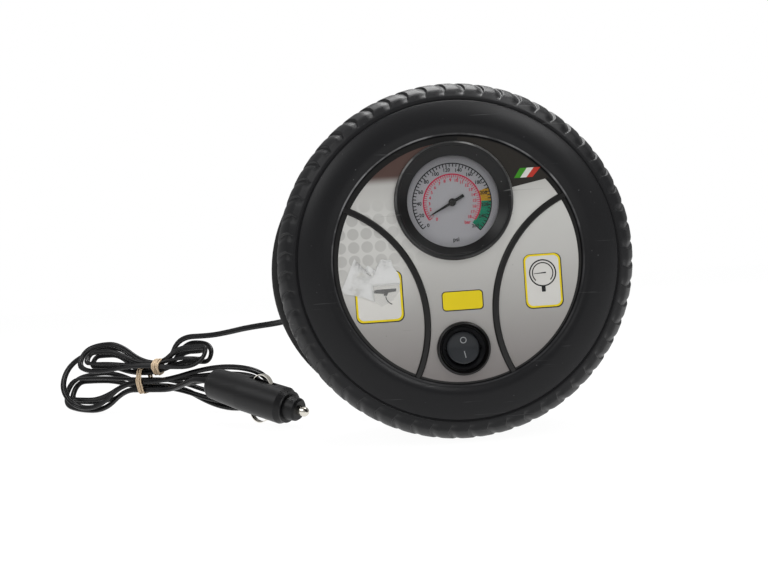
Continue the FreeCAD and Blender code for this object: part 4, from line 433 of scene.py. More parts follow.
def baked(item):
    """The evaluated object as a plain mesh object; its modifiers and its own data are dropped."""
    graph = bpy.context.evaluated_depsgraph_get()
    mesh = bpy.data.meshes.new_from_object(item.evaluated_get(graph))
    mesh.transform(item.matrix_world)
    label = item.name
    bpy.data.objects.remove(item)
    mesh.name = label
    return shown(label, mesh)


def ring_faces(rings, rim, closed=False, first=0):
    """Faces between rings of points that follow each other, and back to the first where closed."""
    faces = []
    for ring in range(rings if closed else rings - 1):
        here, there = first + ring * rim, first + (ring + 1) % rings * rim
        for number in range(rim):
            after = (number + 1) % rim
            faces.append((here + number, here + after, there + after, there + number))
    return faces


def capped(rings, rim):
    """The faces of a closed bar: its rings, its first end and its last end."""
    last = (rings - 1) * rim
    return ring_faces(rings, rim) + [tuple(range(rim)), tuple(range(last + rim - 1, last - 1, -1))]


def fan_faces(rings, rim):
    """The faces of a sheet made of one middle point with rings of points round it."""
    return ([(0, 1 + number, 1 + (number + 1) % rim) for number in range(rim)]
            + [face[:1] + face[:0:-1] for face in ring_faces(rings, rim, first=1)])


def arc_points(start, via, end, steps):
    """Points along the arc through three flat corners, without its end."""
    a, b, c = (complex(*corner) for corner in (start, via, end))
    ratio = (c - a) / (b - a)
    middle = a + (b - a) * (ratio - abs(ratio) ** 2) / (2j * ratio.imag)
    turn = cmath.phase((c - middle) / (a - middle))
    spots = [middle + (a - middle) * cmath.exp(1j * angle) for angle in spaced(0, turn, steps)[:-1]]
    return [(spot.real, spot.imag) for spot in spots]


def run_points(start, end, steps):
    """Points along a straight run, without its end."""
    return list(zip(*(spaced(a, b, steps)[:-1] for a, b in zip(start, end))))


# %% [markdown]
# ## The tyre-shaped shells
# Each shell is one turned outline, so it could be a spun curve, but its tread has 56 swept
# grooves. The way chosen here keeps the two ideas apart: mesh code turns the outline into a
# blank whose columns lean like the grooves, and a Geometry Nodes tree presses the grooves into
# the tread. Its inputs are the real sizes, so another tread is a change of numbers.

# %% The turned blank
LUGS = 56
SWEEP = 13.5
GROOVE_END = 35.0
HOOK = 1.0
HOOK_SHARE = 0.14
TREAD_FOOT, TREAD_FADE = 76.0, 1.6
COLUMNS = (-3.4, -2.1, -1.2, -0.78, -0.6, -0.4, -0.2, 0.0, 0.25, 0.7, 1.3, 1.9, 2.5, 3.1, 3.8, 4.9)


def lean(radius, depth):
    """How far a groove has swept round the wheel, in millimetres, at a radius and depth."""
    share = min(max(1 - (abs(depth) + WHEEL - radius) / GROOVE_END, 0), 1)
    return SWEEP * share ** 2 + HOOK * max(1 - share / HOOK_SHARE, 0) ** 2


def tread_share(radius):
    """Full over the tread, fading out before the smooth side."""
    return min(max((radius - TREAD_FOOT) / TREAD_FADE, 0.0), 1.0)


def turned_blank(name, skin, rest, share=0.0):
    """Turn (radius, depth) corners about the wheel's axis; only the skin's corners take grooves."""
    pitch = 2 * math.pi * WHEEL / LUGS
    outline = skin + rest
    points = []
    for lug in range(LUGS):
        for column in COLUMNS:
            angle = (lug + share + column / pitch) * 2 * math.pi / LUGS
            for radius, depth in outline:
                turn = angle + lean(radius, depth) / WHEEL
                points.append(place(radius * math.sin(turn), -depth, -radius * math.cos(turn)))
    columns = LUGS * len(COLUMNS)
    item = piece(name, points, ring_faces(columns, len(outline), closed=True), SHELL, outward=True)
    layer = item.data.attributes.new("tread", "FLOAT", "POINT")
    weights = [tread_share(radius) for radius, depth in skin] + [0.0] * len(rest)
    layer.data.foreach_set("value", weights * columns)
    return item


shoulder = ([(84.85, 0)] + run_points((85, 0.15), (85, 13), 9)
            + arc_points((85, 13), (83.4, 19.5), (78.6, 26), 18) + [(78.6, 26)])
front_side = [(77.5, 26.55), (76.4, 27), (75.4, 27.45), (74.35, 27.9), (74.1, 27.85), (73.75, 27.2),
              (73.35, 27.15), (73.0, 27.9), (72.7, 28.25)]
front_rest = (arc_points((72.3, 28.45), (67.4, 30.3), (61.3, 31), 14)
              + arc_points((61.3, 31), (59.75, 30.61), (58.3, 29.75), 6)
              + [(58.2, 29.62), (58.0, 29.5), (56.95, 29.2), (56.75, 29.0), (56.75, 25.6), (53.35, 25.6),
                 (53.35, 23.5), (58.85, 23.5), (60.0, 28.0), (66.0, 27.9), (72.3, 25.5), (75.7, 23.9),
                 (79.6, 18.6), (81.4, 13), (81.4, 0)])
front_tyre = turned_blank("front_tyre", shoulder + front_side, front_rest)

rear_skin = [(radius, -depth) for radius, depth in shoulder]
rear_rest = (run_points((77.6, -26.8), (74.0, -29.8), 2)
             + arc_points((74.0, -29.8), (73.5, -30.65), (72.6, -31), 5)
             + [(72.6, -31), (70.1, -31), (69.8, -30.7), (69.8, -19.8), (69.5, -19.5), (46.7, -19.5),
                (46.4, -19.8), (46.4, -27.7), (46.1, -28), (43.4, -28), (43.2, -27.8), (43.2, -26.2),
                (40.5, -26.2), (40.5, -24.1), (44.3, -24.1), (44.3, -17.4), (71.9, -17.4), (71.9, -28.1),
                (75.7, -23.9), (79.6, -18.6), (81.4, -13), (81.4, 0)])
rear_tyre = turned_blank("rear_tyre", rear_skin, rear_rest, share=0.5)
print("blank shells:", len(front_tyre.data.polygons), "and", len(rear_tyre.data.polygons), "faces")

# %% [markdown]
# ## Pressing the lugs
# The lugs are soft steps: going round, the surface drops sharply, rises slowly and stays level to
# the next drop. Each groove sweeps back as it leaves the parting line and ends in a small hook.
# For each point of the tread the tree works out how far it lies from a drop, as a share of the
# pitch. Two eased ramps turn that share into a depth, and the point moves that far inwards along
# its normal, less over the crown than at the shoulders. Another tread is other input numbers.


# %% Groove tree
def apply_tree(item, group_name, **values):
    """Add the tree as a modifier, with its inputs set by their identifiers."""
    group = bpy.data.node_groups[group_name]
    modifier = item.modifiers.new(group_name, "NODES")
    modifier.node_group = group
    for socket in group.interface.items_tree:
        label = socket.name.replace(" ", "_")
        if socket.in_out == "INPUT" and label in values:
            modifier[socket.identifier] = values[label]
    return item


build, given, end = new_group("tread_grooves", {
    "Geometry": "", "Lugs": LUGS, "Step depth": 1.0, "Crown share": 0.25, "Sweep": SWEEP, "Hook": HOOK,
    "Groove end": GROOVE_END, "Flat share": 0.5, "Drop share": 0.08, "Share": 0.0}, "Geometry")
x, y, z = build.axes(build.get("GeometryNodeInputPosition", 0))
depth = build.math("ABSOLUTE", y / MM)
below = WHEEL * MM - z
run = build.math("ARCTAN2", x, below) * WHEEL
skin = depth + (WHEEL - build.reach(x, below) / MM)
share = build.math("SUBTRACT", 1.0, skin / given["Groove end"], clamp=True)
hooked = build.math("SUBTRACT", 1.0, share / HOOK_SHARE, clamp=True)
swept_by = given["Sweep"] * share * share + given["Hook"] * hooked * hooked
pitch = 2 * math.pi * WHEEL / given["Lugs"]
turns = (swept_by - run) / pitch + given["Share"]
past = build.math("FRACT", turns - given["Drop share"])
bottom = 1.0 - given["Drop share"]
sinking = build.ramp(past, given["Flat share"], bottom)
rising = build.ramp(past, bottom, 1.0, 1.0, 0.0)
fuller = build.ramp(depth, 13.0, 22.0, given["Crown share"], 1.0)
weight = build.get("GeometryNodeInputNamedAttribute", "Attribute", {"Name": "tread"}, data_type="FLOAT")
sunk = given["Step depth"] * fuller * sinking * rising * weight * -MM
normal = build.get("GeometryNodeInputNormal", 0)
shift = build.get("ShaderNodeVectorMath", 0, {0: normal, "Scale": sunk}, operation="SCALE")
moved = build.get("GeometryNodeSetPosition", 0, {"Geometry": given["Geometry"], "Offset": shift})
build.feed(end["Geometry"], moved)

# %% Press the grooves into both shells
for shell, node, turned in ((front_tyre, "front_tyre_shell", 0.0), (rear_tyre, "rear_tyre_shell", 0.5)):
    apply_tree(shell, "tread_grooves", Share=turned)
    shell.parent = None
    tyre = dress(baked(shell), SHELL)
    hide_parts(node)
    print("grooved", tyre.name, "of", len(tyre.data.polygons), "faces")

# %% [markdown]
# ## Materials for the pieces that stay as measured
# The panel, gauge, switch, pump and plug come from the measured model as they are. Each gets the
# finish of the real piece; the pump's inside parts show only when the housing is opened.

# %% Finish the measured pieces
FINISHES = {
    PANEL: "front_panel",
    PRINT: "left_label right_label centre_label",
    BEZEL: "gauge_bezel gauge_case",
    LENS: "gauge_lens",
    DIAL: "gauge_dial",
    NEEDLE: "gauge_needle",
    SWITCH: "switch_body switch_rocker chuck_body chuck_lever",
    COVER: "rear_cover",
    RUBBER: "cord_gland piston_seal head_gasket outlet_valve chuck_seal air_hose",
    FLEX: "wiring power_lead cord_hank hank_tail",
    PLUG: "plug_body plug_nose",
    CHROME: "plug_tip plug_contacts plug_spring plug_fuse",
    STEEL: "case_screws pump_bracket motor_can motor_rotor gear_spindle crank_pin wrist_pin "
           "valve_spring pump_fasteners lever_pin",
    ALLOY: "pump_cylinder cylinder_head hose_ferrule",
    BRASS: "gauge_movement bourdon_tube gauge_inlet switch_terminals drive_pinion valve_cap air_tee "
           "hose_elbow",
    NYLON: "motor_end_cap crank_gear connecting_rod piston",
    MAGNET: "motor_magnets",
    TUBING: "air_tubes",
    BAND: "hank_bands",
}
for material, nodes in FINISHES.items():
    for node in nodes.split():
        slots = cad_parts[node].data.materials
        slots.clear()
        slots.append(material)
finished = " ".join(FINISHES.values()).split()
print("nodes without a finish here:", sorted(set(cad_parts) - set(finished)))

# %% [markdown]
# ## The dial
# A dial's marks repeat round an arc, which is what instances are for. One tree puts bars on an
# arc between two angles, some of them longer, and ends in real geometry. The rings and the
# coloured sectors are flat bands, and the plain numbers and units are text turned into mesh.

# %% Tree for marks on an arc
SECTOR_DEPTH, MARK_DEPTH, NUMBER_DEPTH = 22.0, 22.05, 22.07
build, given, end = new_group("dial_marks", {
    "Geometry": "", "Count": 53, "First angle": 222.5, "Last angle": -43.0, "Radius": 18.0, "Length": 1.2,
    "Width": 0.25, "Long every": 5, "Long factor": 1.7, "Middle height": GAUGE_Z, "Depth": MARK_DEPTH,
    "Material": None}, "Geometry")
index = build.get("GeometryNodeInputIndex", 0)
share = index / (given["Count"] - 1.0)
angle = build.math("RADIANS", given["First angle"] + share * (given["Last angle"] - given["First angle"]))
is_long = build.math("LESS_THAN", build.math("MODULO", index, given["Long every"]), 0.5)
stretch = 1.0 + is_long * (given["Long factor"] - 1.0)
middle = given["Radius"] - given["Length"] * stretch * 0.5
rise = middle * build.math("SINE", angle) + given["Middle height"] + WHEEL
spot = build.vector(middle * build.math("COSINE", angle) * MM, given["Depth"] * -MM, rise * MM)
spots = build.get("GeometryNodePoints", 0, {"Count": given["Count"], "Position": spot})
size = build.vector(given["Width"] * MM, 0.00008, given["Length"] * MM)
bars = build.get("GeometryNodeInstanceOnPoints", 0, {
    "Points": spots,
    "Instance": build.get("GeometryNodeMeshCube", 0, {"Size": size}),
    "Rotation": build.vector(0.0, math.pi / 2 - angle, 0.0),
    "Scale": build.vector(1.0, 1.0, stretch)})
real = build.get("GeometryNodeRealizeInstances", 0, {0: bars})
painted = build.get("GeometryNodeSetMaterial", 0, {"Geometry": real, "Material": given["Material"]})
build.feed(end["Geometry"], painted)


# %% Marks, rings and sectors
def scale_marks(name, material, **values):
    holder = shown(name, bpy.data.meshes.new(name))
    apply_tree(holder, "dial_marks", Material=material, **values)
    return dress(baked(holder), material, smooth=False)


def flat_band(name, inner, outer, first, last, depth, material, centre=(0.0, GAUGE_Z), steps=48,
              thick=0.06):
    """A flat band between two radii and two angles on a face at one depth."""
    points = []
    for angle in spaced(first, last, steps):
        for lift, radius in ((0, inner), (0, outer), (thick, outer), (thick, inner)):
            x, z = around(radius, angle, *centre)
            points.append(place(x, -depth - lift, z))
    return piece(name, points, capped(steps + 1, 4), material, smooth=False, outward=True)


OUTER_FIRST, OUTER_LAST = 218.1, -47.8
INNER_FIRST, INNER_LAST = 214.1, -39.4
scale_marks("outer_scale_marks", INK_BLACK, Count=53, First_angle=OUTER_FIRST, Last_angle=OUTER_LAST,
            Radius=18.4, Length=1.6, Width=0.45, Long_every=4, Long_factor=1.25)
scale_marks("inner_scale_marks", INK_RED, Count=55, First_angle=INNER_FIRST, Last_angle=INNER_LAST,
            Radius=13.3, Length=1.45, Width=0.36, Long_every=3, Long_factor=1.25)
flat_band("outer_scale_line", 18.1, 18.6, OUTER_FIRST, OUTER_LAST, MARK_DEPTH, INK_BLACK)
flat_band("inner_scale_line", 13.0, 13.6, INNER_FIRST, INNER_LAST, MARK_DEPTH, INK_RED)
for name, first, last, colour, steps in (("amber_sector", 19.6, -0.4, INK_AMBER, 12),
                                         ("green_sector", -0.4, -48.0, INK_GREEN, 24)):
    flat_band(name, 13.2, 18.2, first, last, SECTOR_DEPTH, colour, steps=steps, thick=0.03)

# %% Plain numbers and units
CAPITAL_SHARE = 0.7


def number_mark(text, x, z, height, material, name):
    """A plain number or word as flat mesh, centred on a point of the dial."""
    curve = bpy.data.curves.new(name, "FONT")
    curve.body = text
    curve.size = height * MM / CAPITAL_SHARE
    curve.align_x, curve.align_y = "CENTER", "CENTER"
    curve.extrude = 0.00003
    curve.offset = 0.00006
    curve.resolution_u = 3
    item = shown(name, curve)
    item.rotation_euler = (math.pi / 2, 0, 0)
    item.location = place(x, -NUMBER_DEPTH, z)
    bpy.context.view_layer.update()
    return dress(baked(item), material, smooth=False)


def numbers_round(name, values, radius, height, material, first, last):
    """Evenly spaced numbers on an arc of the dial, as one piece."""
    shape = bmesh.new()
    for value, angle in zip(values, spaced(first, last, len(values) - 1)):
        x, z = around(radius, angle, 0, GAUGE_Z)
        item = number_mark(str(value), x, z, height, material, f"{name}_{value}")
        shape.from_mesh(item.data)
        bpy.data.objects.remove(item)
    mesh = bpy.data.meshes.new(name)
    shape.to_mesh(mesh)
    shape.free()
    return dress(shown(name, mesh), material, smooth=False)


numbers_round("outer_numbers", range(0, 261, 20), 15.35, 1.6, INK_BLACK, 220.0, -48.5)
numbers_round("inner_numbers", range(0, 19), 10.5, 1.4, INK_RED, 224.0, -43.0)
number_mark("bar", 6.6, GAUGE_Z - 9.6, 1.5, INK_RED, "unit_bar")
number_mark("psi", 0.8, GAUGE_Z - 17.3, 1.9, INK_BLACK, "unit_psi")
print("dial pieces ready")

# %% [markdown]
# ## The rocker
# The rocker is a slice of a ball that tips about its own middle: flat where it is pressed in, and
# sloping out below. Rings of points follow that face out to where the ball cuts it off, and then
# run back round the ball. Its white ring and bar are the usual marks for off and on, and they
# tip with it.

# %% Rocker disc
BALL = 7.55
AXIS_DEPTH, ROCKER_DEPTH = 25.4, 25.7
TILT = math.tan(math.radians(18))
AROUND = 64
ANGLES = spaced(0, 360, AROUND)[:-1]
ROUNDED_FROM = 0.87


def rocker_depth(height):
    """How far the rocker's face stands forward at a height from its middle."""
    return ROCKER_DEPTH + TILT * (math.sqrt(height * height + 1.2) - height) / 2


rocker_points = [place(0, -rocker_depth(0), SWITCH_Z)]
for share in (0.15, 0.3, 0.45, 0.6, 0.75, ROUNDED_FROM, 0.94, 0.98, 1.0):
    rounding = 0.3 * max(0.0, (share - ROUNDED_FROM) / (1 - ROUNDED_FROM)) ** 2
    for angle in ANGLES:
        edge = BALL
        for attempt in range(6):
            edge = math.sqrt(BALL ** 2 - (rocker_depth(around(edge, angle)[1]) - AXIS_DEPTH) ** 2)
        x, z = around(edge * share, angle)
        rocker_points.append(place(x, rounding - rocker_depth(z), SWITCH_Z + z))
for behind in (0.0, 1.6, 3.2):
    for angle in ANGLES:
        x, z = around(math.sqrt(BALL ** 2 - behind ** 2), angle)
        rocker_points.append(place(x, behind - AXIS_DEPTH, SWITCH_Z + z))
rings = len(rocker_points) // AROUND
back = tuple(range(len(rocker_points) - AROUND, len(rocker_points)))
rocker_faces = fan_faces(rings, AROUND) + [back]
rocker_disc = piece("rocker_disc", rocker_points, rocker_faces, ROCKER, body="rocker", outward=True)
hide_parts("switch_rocker")
print("rocker rings:", rings)

# %% Rocker marks
off_ring = flat_band("off_ring", 1.12, 1.5, 0, 360, 25.75, MARK_WHITE, (0.3, SWITCH_Z + 3.6), 32)
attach(off_ring, "rocker")
ON_BAR_X, ON_BAR_Z, ON_BAR_LEAN = 0.6, -2.9, 0.16
bar_points = []
for lift in (0.03, 0.09):
    for x, z in ((-0.18, -1.5), (0.18, -1.5), (0.18, 1.5), (-0.18, 1.5)):
        height = z + ON_BAR_Z
        across = x + ON_BAR_X - z * ON_BAR_LEAN
        bar_points.append(place(across, -lift - rocker_depth(height), SWITCH_Z + height))
piece("on_bar", bar_points, capped(2, 4), MARK_WHITE, body="rocker", smooth=False, outward=True)


# %% [markdown]
# ## Badges on the print
# The panel carries printed plates with yellow frames. They are kept bare of words: the left one
# shows a plain nozzle, the right one a plain dial, and the middle one is an empty yellow plate.
# Each is a thin rounded sheet lying on the print, and all heights are counted from the print.

# %% Rounded plates
FACE = 28.4
TOP = 0.08


def rounded(x0, z0, x1, z1, radius, steps=6):
    """A rounded rectangle's outline, counter-clockwise."""
    return [around(radius, angle, x, z)
            for x, z, first in ((x1 - radius, z1 - radius, 0), (x0 + radius, z1 - radius, 90),
                                (x0 + radius, z0 + radius, 180), (x1 - radius, z0 + radius, 270))
            for angle in spaced(first, first + 90, steps)]


def sheet(name, outline, low, high, material):
    """A thin flat sheet between two heights over the print."""
    points = [place(x, -FACE - level, z) for level in (low, high) for x, z in outline]
    return piece(name, points, capped(2, len(outline)), material, smooth=False, outward=True)


def badge(name, x0, z0, x1, z1, width, radius=3.0):
    """A white plate with a yellow frame of some width, and a dark sheet under it, offset down and to the
    right, as its painted shadow.
    """
    inset = rounded(x0 + width, z0 + width, x1 - width, z1 - width, radius - width * 0.6)
    # The dark sheet under the frame is a painted shadow.
    edge = rounded(x0 - 0.3, z0 - 0.5, x1 + 0.5, z1 + 0.2, radius + 0.2)
    sheet(name + "_frame", rounded(x0, z0, x1, z1, radius), 0.0, 0.05, INK_YELLOW)
    sheet(name + "_field", inset, 0.05, TOP, INK_WHITE)
    sheet(name + "_edge", edge, 0.0, 0.02, INK_OLIVE_AND_PAINTED_SHADOW)


badge("left_badge", -47.6, -25.8, -26.3, -3.1, 0.9)
badge("right_badge", 29.8, -24.2, 46.4, 0.0, 0.8)
sheet("centre_badge_edge", rounded(-8.5, -23.2, 10.4, -14.1, 1.8), 0.0, 0.03, INK_OLIVE_AND_PAINTED_SHADOW)
sheet("centre_badge", rounded(-8.1, -22.7, 9.9, -14.5, 1.5), 0.03, 0.06, INK_YELLOW)

# %% Dark border of the print, partly painted shade
# The print stops at a circle a little off the wheel's middle; a ring of the dark panel is left
# outside it, widest at the top, where it is painted shade of the recess under the lip.
PRINT_EDGE, RIM_EDGE = (54.7, 0.2, -0.9), (56.2, 0.0, 0.0)
BORDER_STEPS = 180
points = []
for angle in spaced(0, 360, BORDER_STEPS)[:-1]:
    inner, outer = (around(radius, angle, *centre) for radius, *centre in (PRINT_EDGE, RIM_EDGE))
    for lift, (x, z) in ((0.0, inner), (0.0, outer), (0.03, outer), (0.03, inner)):
        points.append(place(x, -FACE - lift, z))
piece("label_border", points, ring_faces(BORDER_STEPS, 4, closed=True), PANEL, smooth=False, outward=True)

# %% Plain pictures on the badges
DIAL_PICTURE = (38.1, -8.6)
BAR = [(-40.2, -12.5), (-34.6, -13.2), (-34.4, -12.9), (-32.6, -12.7), (-29.0, -12.4), (-28.8, -11.0),
       (-38.0, -11.1), (-40.2, -11.7)]
GRIP = [(-34.7, -14.0), (-33.3, -14.2), (-32.5, -12.6), (-34.8, -12.8)]
HAND = [(34.0, -8.9), (39.6, -8.8), (39.6, -8.2), (34.0, -8.7)]
STEM = rounded(37.2, -17.2, 39.0, -14.7, 0.3)
for name, outline, height in (("nozzle_bar", BAR, 0.03), ("nozzle_grip", GRIP, 0.03),
                              ("picture_needle", HAND, 0.04), ("picture_stem", STEM, 0.03)):
    sheet(name, outline, TOP, TOP + height, INK_BLACK)
for name, inner, outer, first, last, material, centre, steps in (
        ("nozzle_hose", 3.9, 4.35, 182, 250, INK_BLACK, (-29.7, -14.2), 16),
        ("picture_dial", 5.6, 6.2, 0, 360, INK_BLACK, DIAL_PICTURE, 48),
        ("picture_scale", 4.4, 4.9, 225, -45, INK_OLIVE_AND_PAINTED_SHADOW, DIAL_PICTURE, 32)):
    flat_band(name, inner, outer, first, last, FACE + TOP, material, centre, steps, thick=0.03)
print("badges ready")

# %% [markdown]
# ## The dark corner and the torn tape
# The print's upper right corner is dark olive with three slanted bars of plain colour, cut off by
# the gauge's ring, the rim and a sloping lower edge. Its outline is worked out from those circles.
# The tape is an irregular film with a crumpled surface, made from a fan of points whose heights
# come from two sine waves, so that it looks the same at each run.


# %% Dark corner
def above_slope(x, z):
    return z >= 31.4 + (x - 28.2) * 0.19


def bearing(x, z):
    return math.degrees(math.atan2(z, x))


ring = [around(27.35, degrees, 0, GAUGE_Z) for degrees in range(5, 84, 2)]
ring = [spot for spot in ring if math.hypot(*spot) < 55.7 and above_slope(*spot)]
rim = [around(55.9, degrees) for degrees in range(88, 30, -1)]
rim = [spot for spot in rim if bearing(*spot) < bearing(*ring[-1]) and above_slope(*spot)]
sheet("dark_corner", ring + rim, 0.0, 0.04, INK_OLIVE_AND_PAINTED_SHADOW)
BAR_FOOT, BAR_HEAD, FOOT_STEP, HEAD_STEP = 28.1, 31.1, 2.83, 3.13
for number, colour in enumerate((INK_LEAF, INK_WHITE, INK_SCARLET)):
    foot, head = BAR_FOOT + number * FOOT_STEP, BAR_HEAD + number * HEAD_STEP
    corners = [(foot, 35.3), (foot + FOOT_STEP, 35.3), (head + HEAD_STEP, 39.6), (head, 39.6)]
    sheet(f"slanted_bar_{number}", corners, 0.04, 0.06, colour)

# %% Torn tape
TORN = [(-47.0, 3.6), (-44.4, -0.2), (-43.2, -1.8), (-41.0, 0.3), (-39.6, -0.8), (-37.6, -2.2),
        (-36.4, 0.6), (-34.6, 2.9), (-32.6, 2.2), (-30.3, 2.3), (-29.6, -1.2), (-27.6, -4.2), (-26.8, -7.7),
        (-27.3, -12.3), (-30.8, -16.4), (-35.9, -19.0), (-38.7, -16.7), (-43.2, -14.5), (-48.3, -13.0),
        (-52.6, -12.1), (-53.6, -10.0), (-51.4, -5.9), (-49.4, -1.4)]
TAPE_RINGS = 7


def crumple(x, z):
    return 0.22 + 0.11 * math.sin(x * 1.7 + z * 0.9) + 0.07 * math.sin(z * 2.9 - x * 1.1)


mid_x, mid_z = (sum(parts) / len(TORN) for parts in zip(*TORN))
tape_points = [place(mid_x, -FACE - crumple(mid_x, mid_z), mid_z)]
for number in range(1, TAPE_RINGS + 1):
    for x, z in TORN:
        x, z = (mid + (part - mid) * number / TAPE_RINGS for mid, part in ((mid_x, x), (mid_z, z)))
        curl = 1.0 if number < TAPE_RINGS else 1.3
        tape_points.append(place(x, -FACE - crumple(x, z) * curl, z))
piece("torn_tape", tape_points, fan_faces(TAPE_RINGS, len(TORN)), TAPE)
print("tape points:", len(tape_points))

# %% [markdown]
# ## The supply lead
# The lead is a flat twin flex: two round strands moulded side by side. It leaves the housing at
# the back, runs to the hank, makes seven loops round the tie and ends in the plug. It is one
# smooth spline. Its points are the corners of the route: between two places where the direction
# is known, the corners lie along both directions, and the spline touches the middle of each run.

# %% Route of the hank
LEAD_STEP = 5.35
ALONG = Vector((math.cos(math.radians(-20)), math.sin(math.radians(-20)), 0))
ACROSS = Vector((-ALONG.y, ALONG.x, 0))
MIDDLE = Vector((-202, 110, 25))


def from_tie(along, across, up):
    """A point in millimetres, counted from the tie along, across and up the hank."""
    return MIDDLE + ALONG * along + ACROSS * across + UP * up


class Lobe:
    """One end of a group of loops: reach and widest place from the tie, the height of its middle,
    half width, how far its plane is turned up, and the step between its turns, in millimetres."""

    def __init__(self, reach, widest, height, half, turn, step):
        self.reach, self.widest, self.height, self.half, self.step = reach, widest, height, half, step
        cosine, sine = around(1, turn)
        self.sideways = ACROSS * cosine + UP * sine
        self.stacked = UP * cosine - ACROSS * sine

    def point(self, along, across, layer):
        level = from_tie(along, 0, self.height - MIDDLE.z)
        return level + self.sideways * across + self.stacked * layer * self.step

    def side(self, way, front, ring, layer):
        return self.point(way * self.widest, (self.half - ring * self.step) * (-1 if front else 1), layer)

    def tip(self, way, ring, layer):
        return self.point(way * (self.reach - ring * self.step), 0, layer)


UPPER_LEFT = Lobe(57, 39, 37.5, 10.5, 57, 5.8)
UPPER_RIGHT = Lobe(54, 38, 39, 10, 60, 6.2)
LOWER_LEFT = Lobe(78, 50, 15.4, 14, 60, 5.8)
LOWER_RIGHT = Lobe(98, 72, 16.4, 15, -60, 5.8)


def tie_place(front, ring, level):
    return from_tie(0, (1.5 - ring) * (-1 if front else 1) * LEAD_STEP, (level - 1.5) * LEAD_STEP)


def stations():
    """The places that the loops pass, each with the direction in which they pass it."""
    turns = [(3, 0), (3, 1), (2, 1), (2, 0), (1, 1), (0, 1), (0, 0)]
    passed = [(from_tie(38, 2, 26), -ALONG)]
    for number, (level, ring) in enumerate(turns):
        left, right = (UPPER_LEFT, UPPER_RIGHT) if level > 1 else (LOWER_LEFT, LOWER_RIGHT)
        layer = level % 2 - 0.5
        if number:
            passed.append((right.side(1, False, ring, layer), -ALONG))
        passed += [(tie_place(False, ring, level), -ALONG), (left.side(-1, False, ring, layer), -ALONG)]
        if number == 3:
            passed.append((from_tie(-67, -9, 2), -LOWER_LEFT.sideways))
            level, ring, layer, left, right = 1, 0, 0.5, LOWER_LEFT, LOWER_RIGHT
        else:
            passed.append((left.tip(-1, ring, layer), -left.sideways))
        passed += [(left.side(-1, True, ring, layer), ALONG), (tie_place(True, ring, level), ALONG)]
        if number < len(turns) - 1:
            next_level, next_ring = turns[number + 1]
            between = (layer + next_level % 2 - 0.5) / 2
            passed += [(right.side(1, True, ring, layer), ALONG),
                       (right.tip(1, (ring + next_ring) / 2, between), right.sideways)]
    return passed + [(passed[-1][0] + ALONG * 12, ALONG)]


def corners_between(start, start_way, end, end_way):
    """The two corners of a route that keeps its direction at both ends."""
    chord = end - start
    spread = 2 * (1 - start_way.dot(end_way))
    run = chord.dot(start_way + end_way)
    if spread < 1e-6:
        reach = chord.length_squared / (2 * run)
    else:
        reach = (math.sqrt(run * run + spread * chord.length_squared) - run) / spread
    return [start + start_way * reach, end - end_way * reach]


# %% The lead's whole route
passed = stations()
GLAND_WAY = Vector((-0.80125, 0.573576, -0.170311))
PLUG_FOOT = Vector((-143.2, 64, 23.7))
PLUG_WAY = Vector((0.851020, -0.481484, -0.209619))
gland_end = Vector((-28, 28, 72)) + GLAND_WAY * 28
lead_route = [gland_end, gland_end + GLAND_WAY * 18, Vector((-96.7, 57, 58.2)), Vector((-120.5, 70.5, 56)),
              Vector((-137.5, 84.5, 53)), passed[0][0] + ALONG * 14]
for (start, start_way), (end, end_way) in zip(passed, passed[1:]):
    lead_route += corners_between(start, start_way, end, end_way)
lead_route += [passed[-1][0] + ALONG * 13, Vector((-167, 81, 22)), PLUG_FOOT - PLUG_WAY * 14, PLUG_FOOT]


def centreline(route):
    """Points along the smooth spline whose corners are the route's, and its length, in metres."""
    curve = bpy.data.curves.new("bare_line", "CURVE")
    curve.dimensions = "3D"
    curve.resolution_u = 8
    spline = curve.splines.new("NURBS")
    spline.points.add(len(route) - 1)
    for point, corner in zip(spline.points, route):
        point.co = (*(corner * MM), 1)
    spline.order_u = 3
    spline.use_endpoint_u = True
    bare = baked(shown("bare_line", curve))
    line = [vertex.co.copy() for vertex in bare.data.vertices]
    bpy.data.meshes.remove(bare.data)
    return line, sum((b - a).length for a, b in zip(line, line[1:]))


lead_line, lead_length = centreline(lead_route)
print("lead:", len(lead_route), "corners,", round(lead_length, 3), "m")

# %% [markdown]
# ## Twin flex
# The section of the flex is two overlapping circles, carried along the line without twisting more
# than it must: each ring of points keeps the direction of the one before, turned only as the line
# bends. It leaves the housing with its broad side upright, as it does in the photograph.

# %% Sweep function and the twin section
STRAND = 1.15 * MM
SPACING = 0.7 * MM


def twin_section(steps=7):
    """The outline of two strands side by side, as (across, up) points."""
    notch = math.degrees(math.acos(SPACING / STRAND))
    return [around(STRAND, angle, middle) for middle, first in ((SPACING, notch - 180), (-SPACING, notch))
            for angle in spaced(first, first + 360 - 2 * notch, steps)]


def swept(name, line, section, material, flat_first=UP):
    """A section carried along a line with the least twist."""
    count = len(line)
    ways = [(line[min(i + 1, count - 1)] - line[max(i - 1, 0)]).normalized() for i in range(count)]
    across = ways[0].cross(flat_first).normalized()
    points = []
    for spot, way in zip(line, ways):
        across = (across - way * across.dot(way)).normalized()
        over = way.cross(across)
        points += [spot + across * u + over * v for u, v in section]
    return piece(name, points, capped(count, len(section)), material, outward=True)


# %% [markdown]
# ## The ties
# Two tan rubber bands, each wound several times, hold the hank: one round its upper turns and a
# slanted one round its lower turns. Their path comes from the lead itself: where its runs pass a
# slanted plane they leave circles, and a taut band takes the shortest way round those, their
# convex hull. Several strands then follow that way side by side, crossing a little.

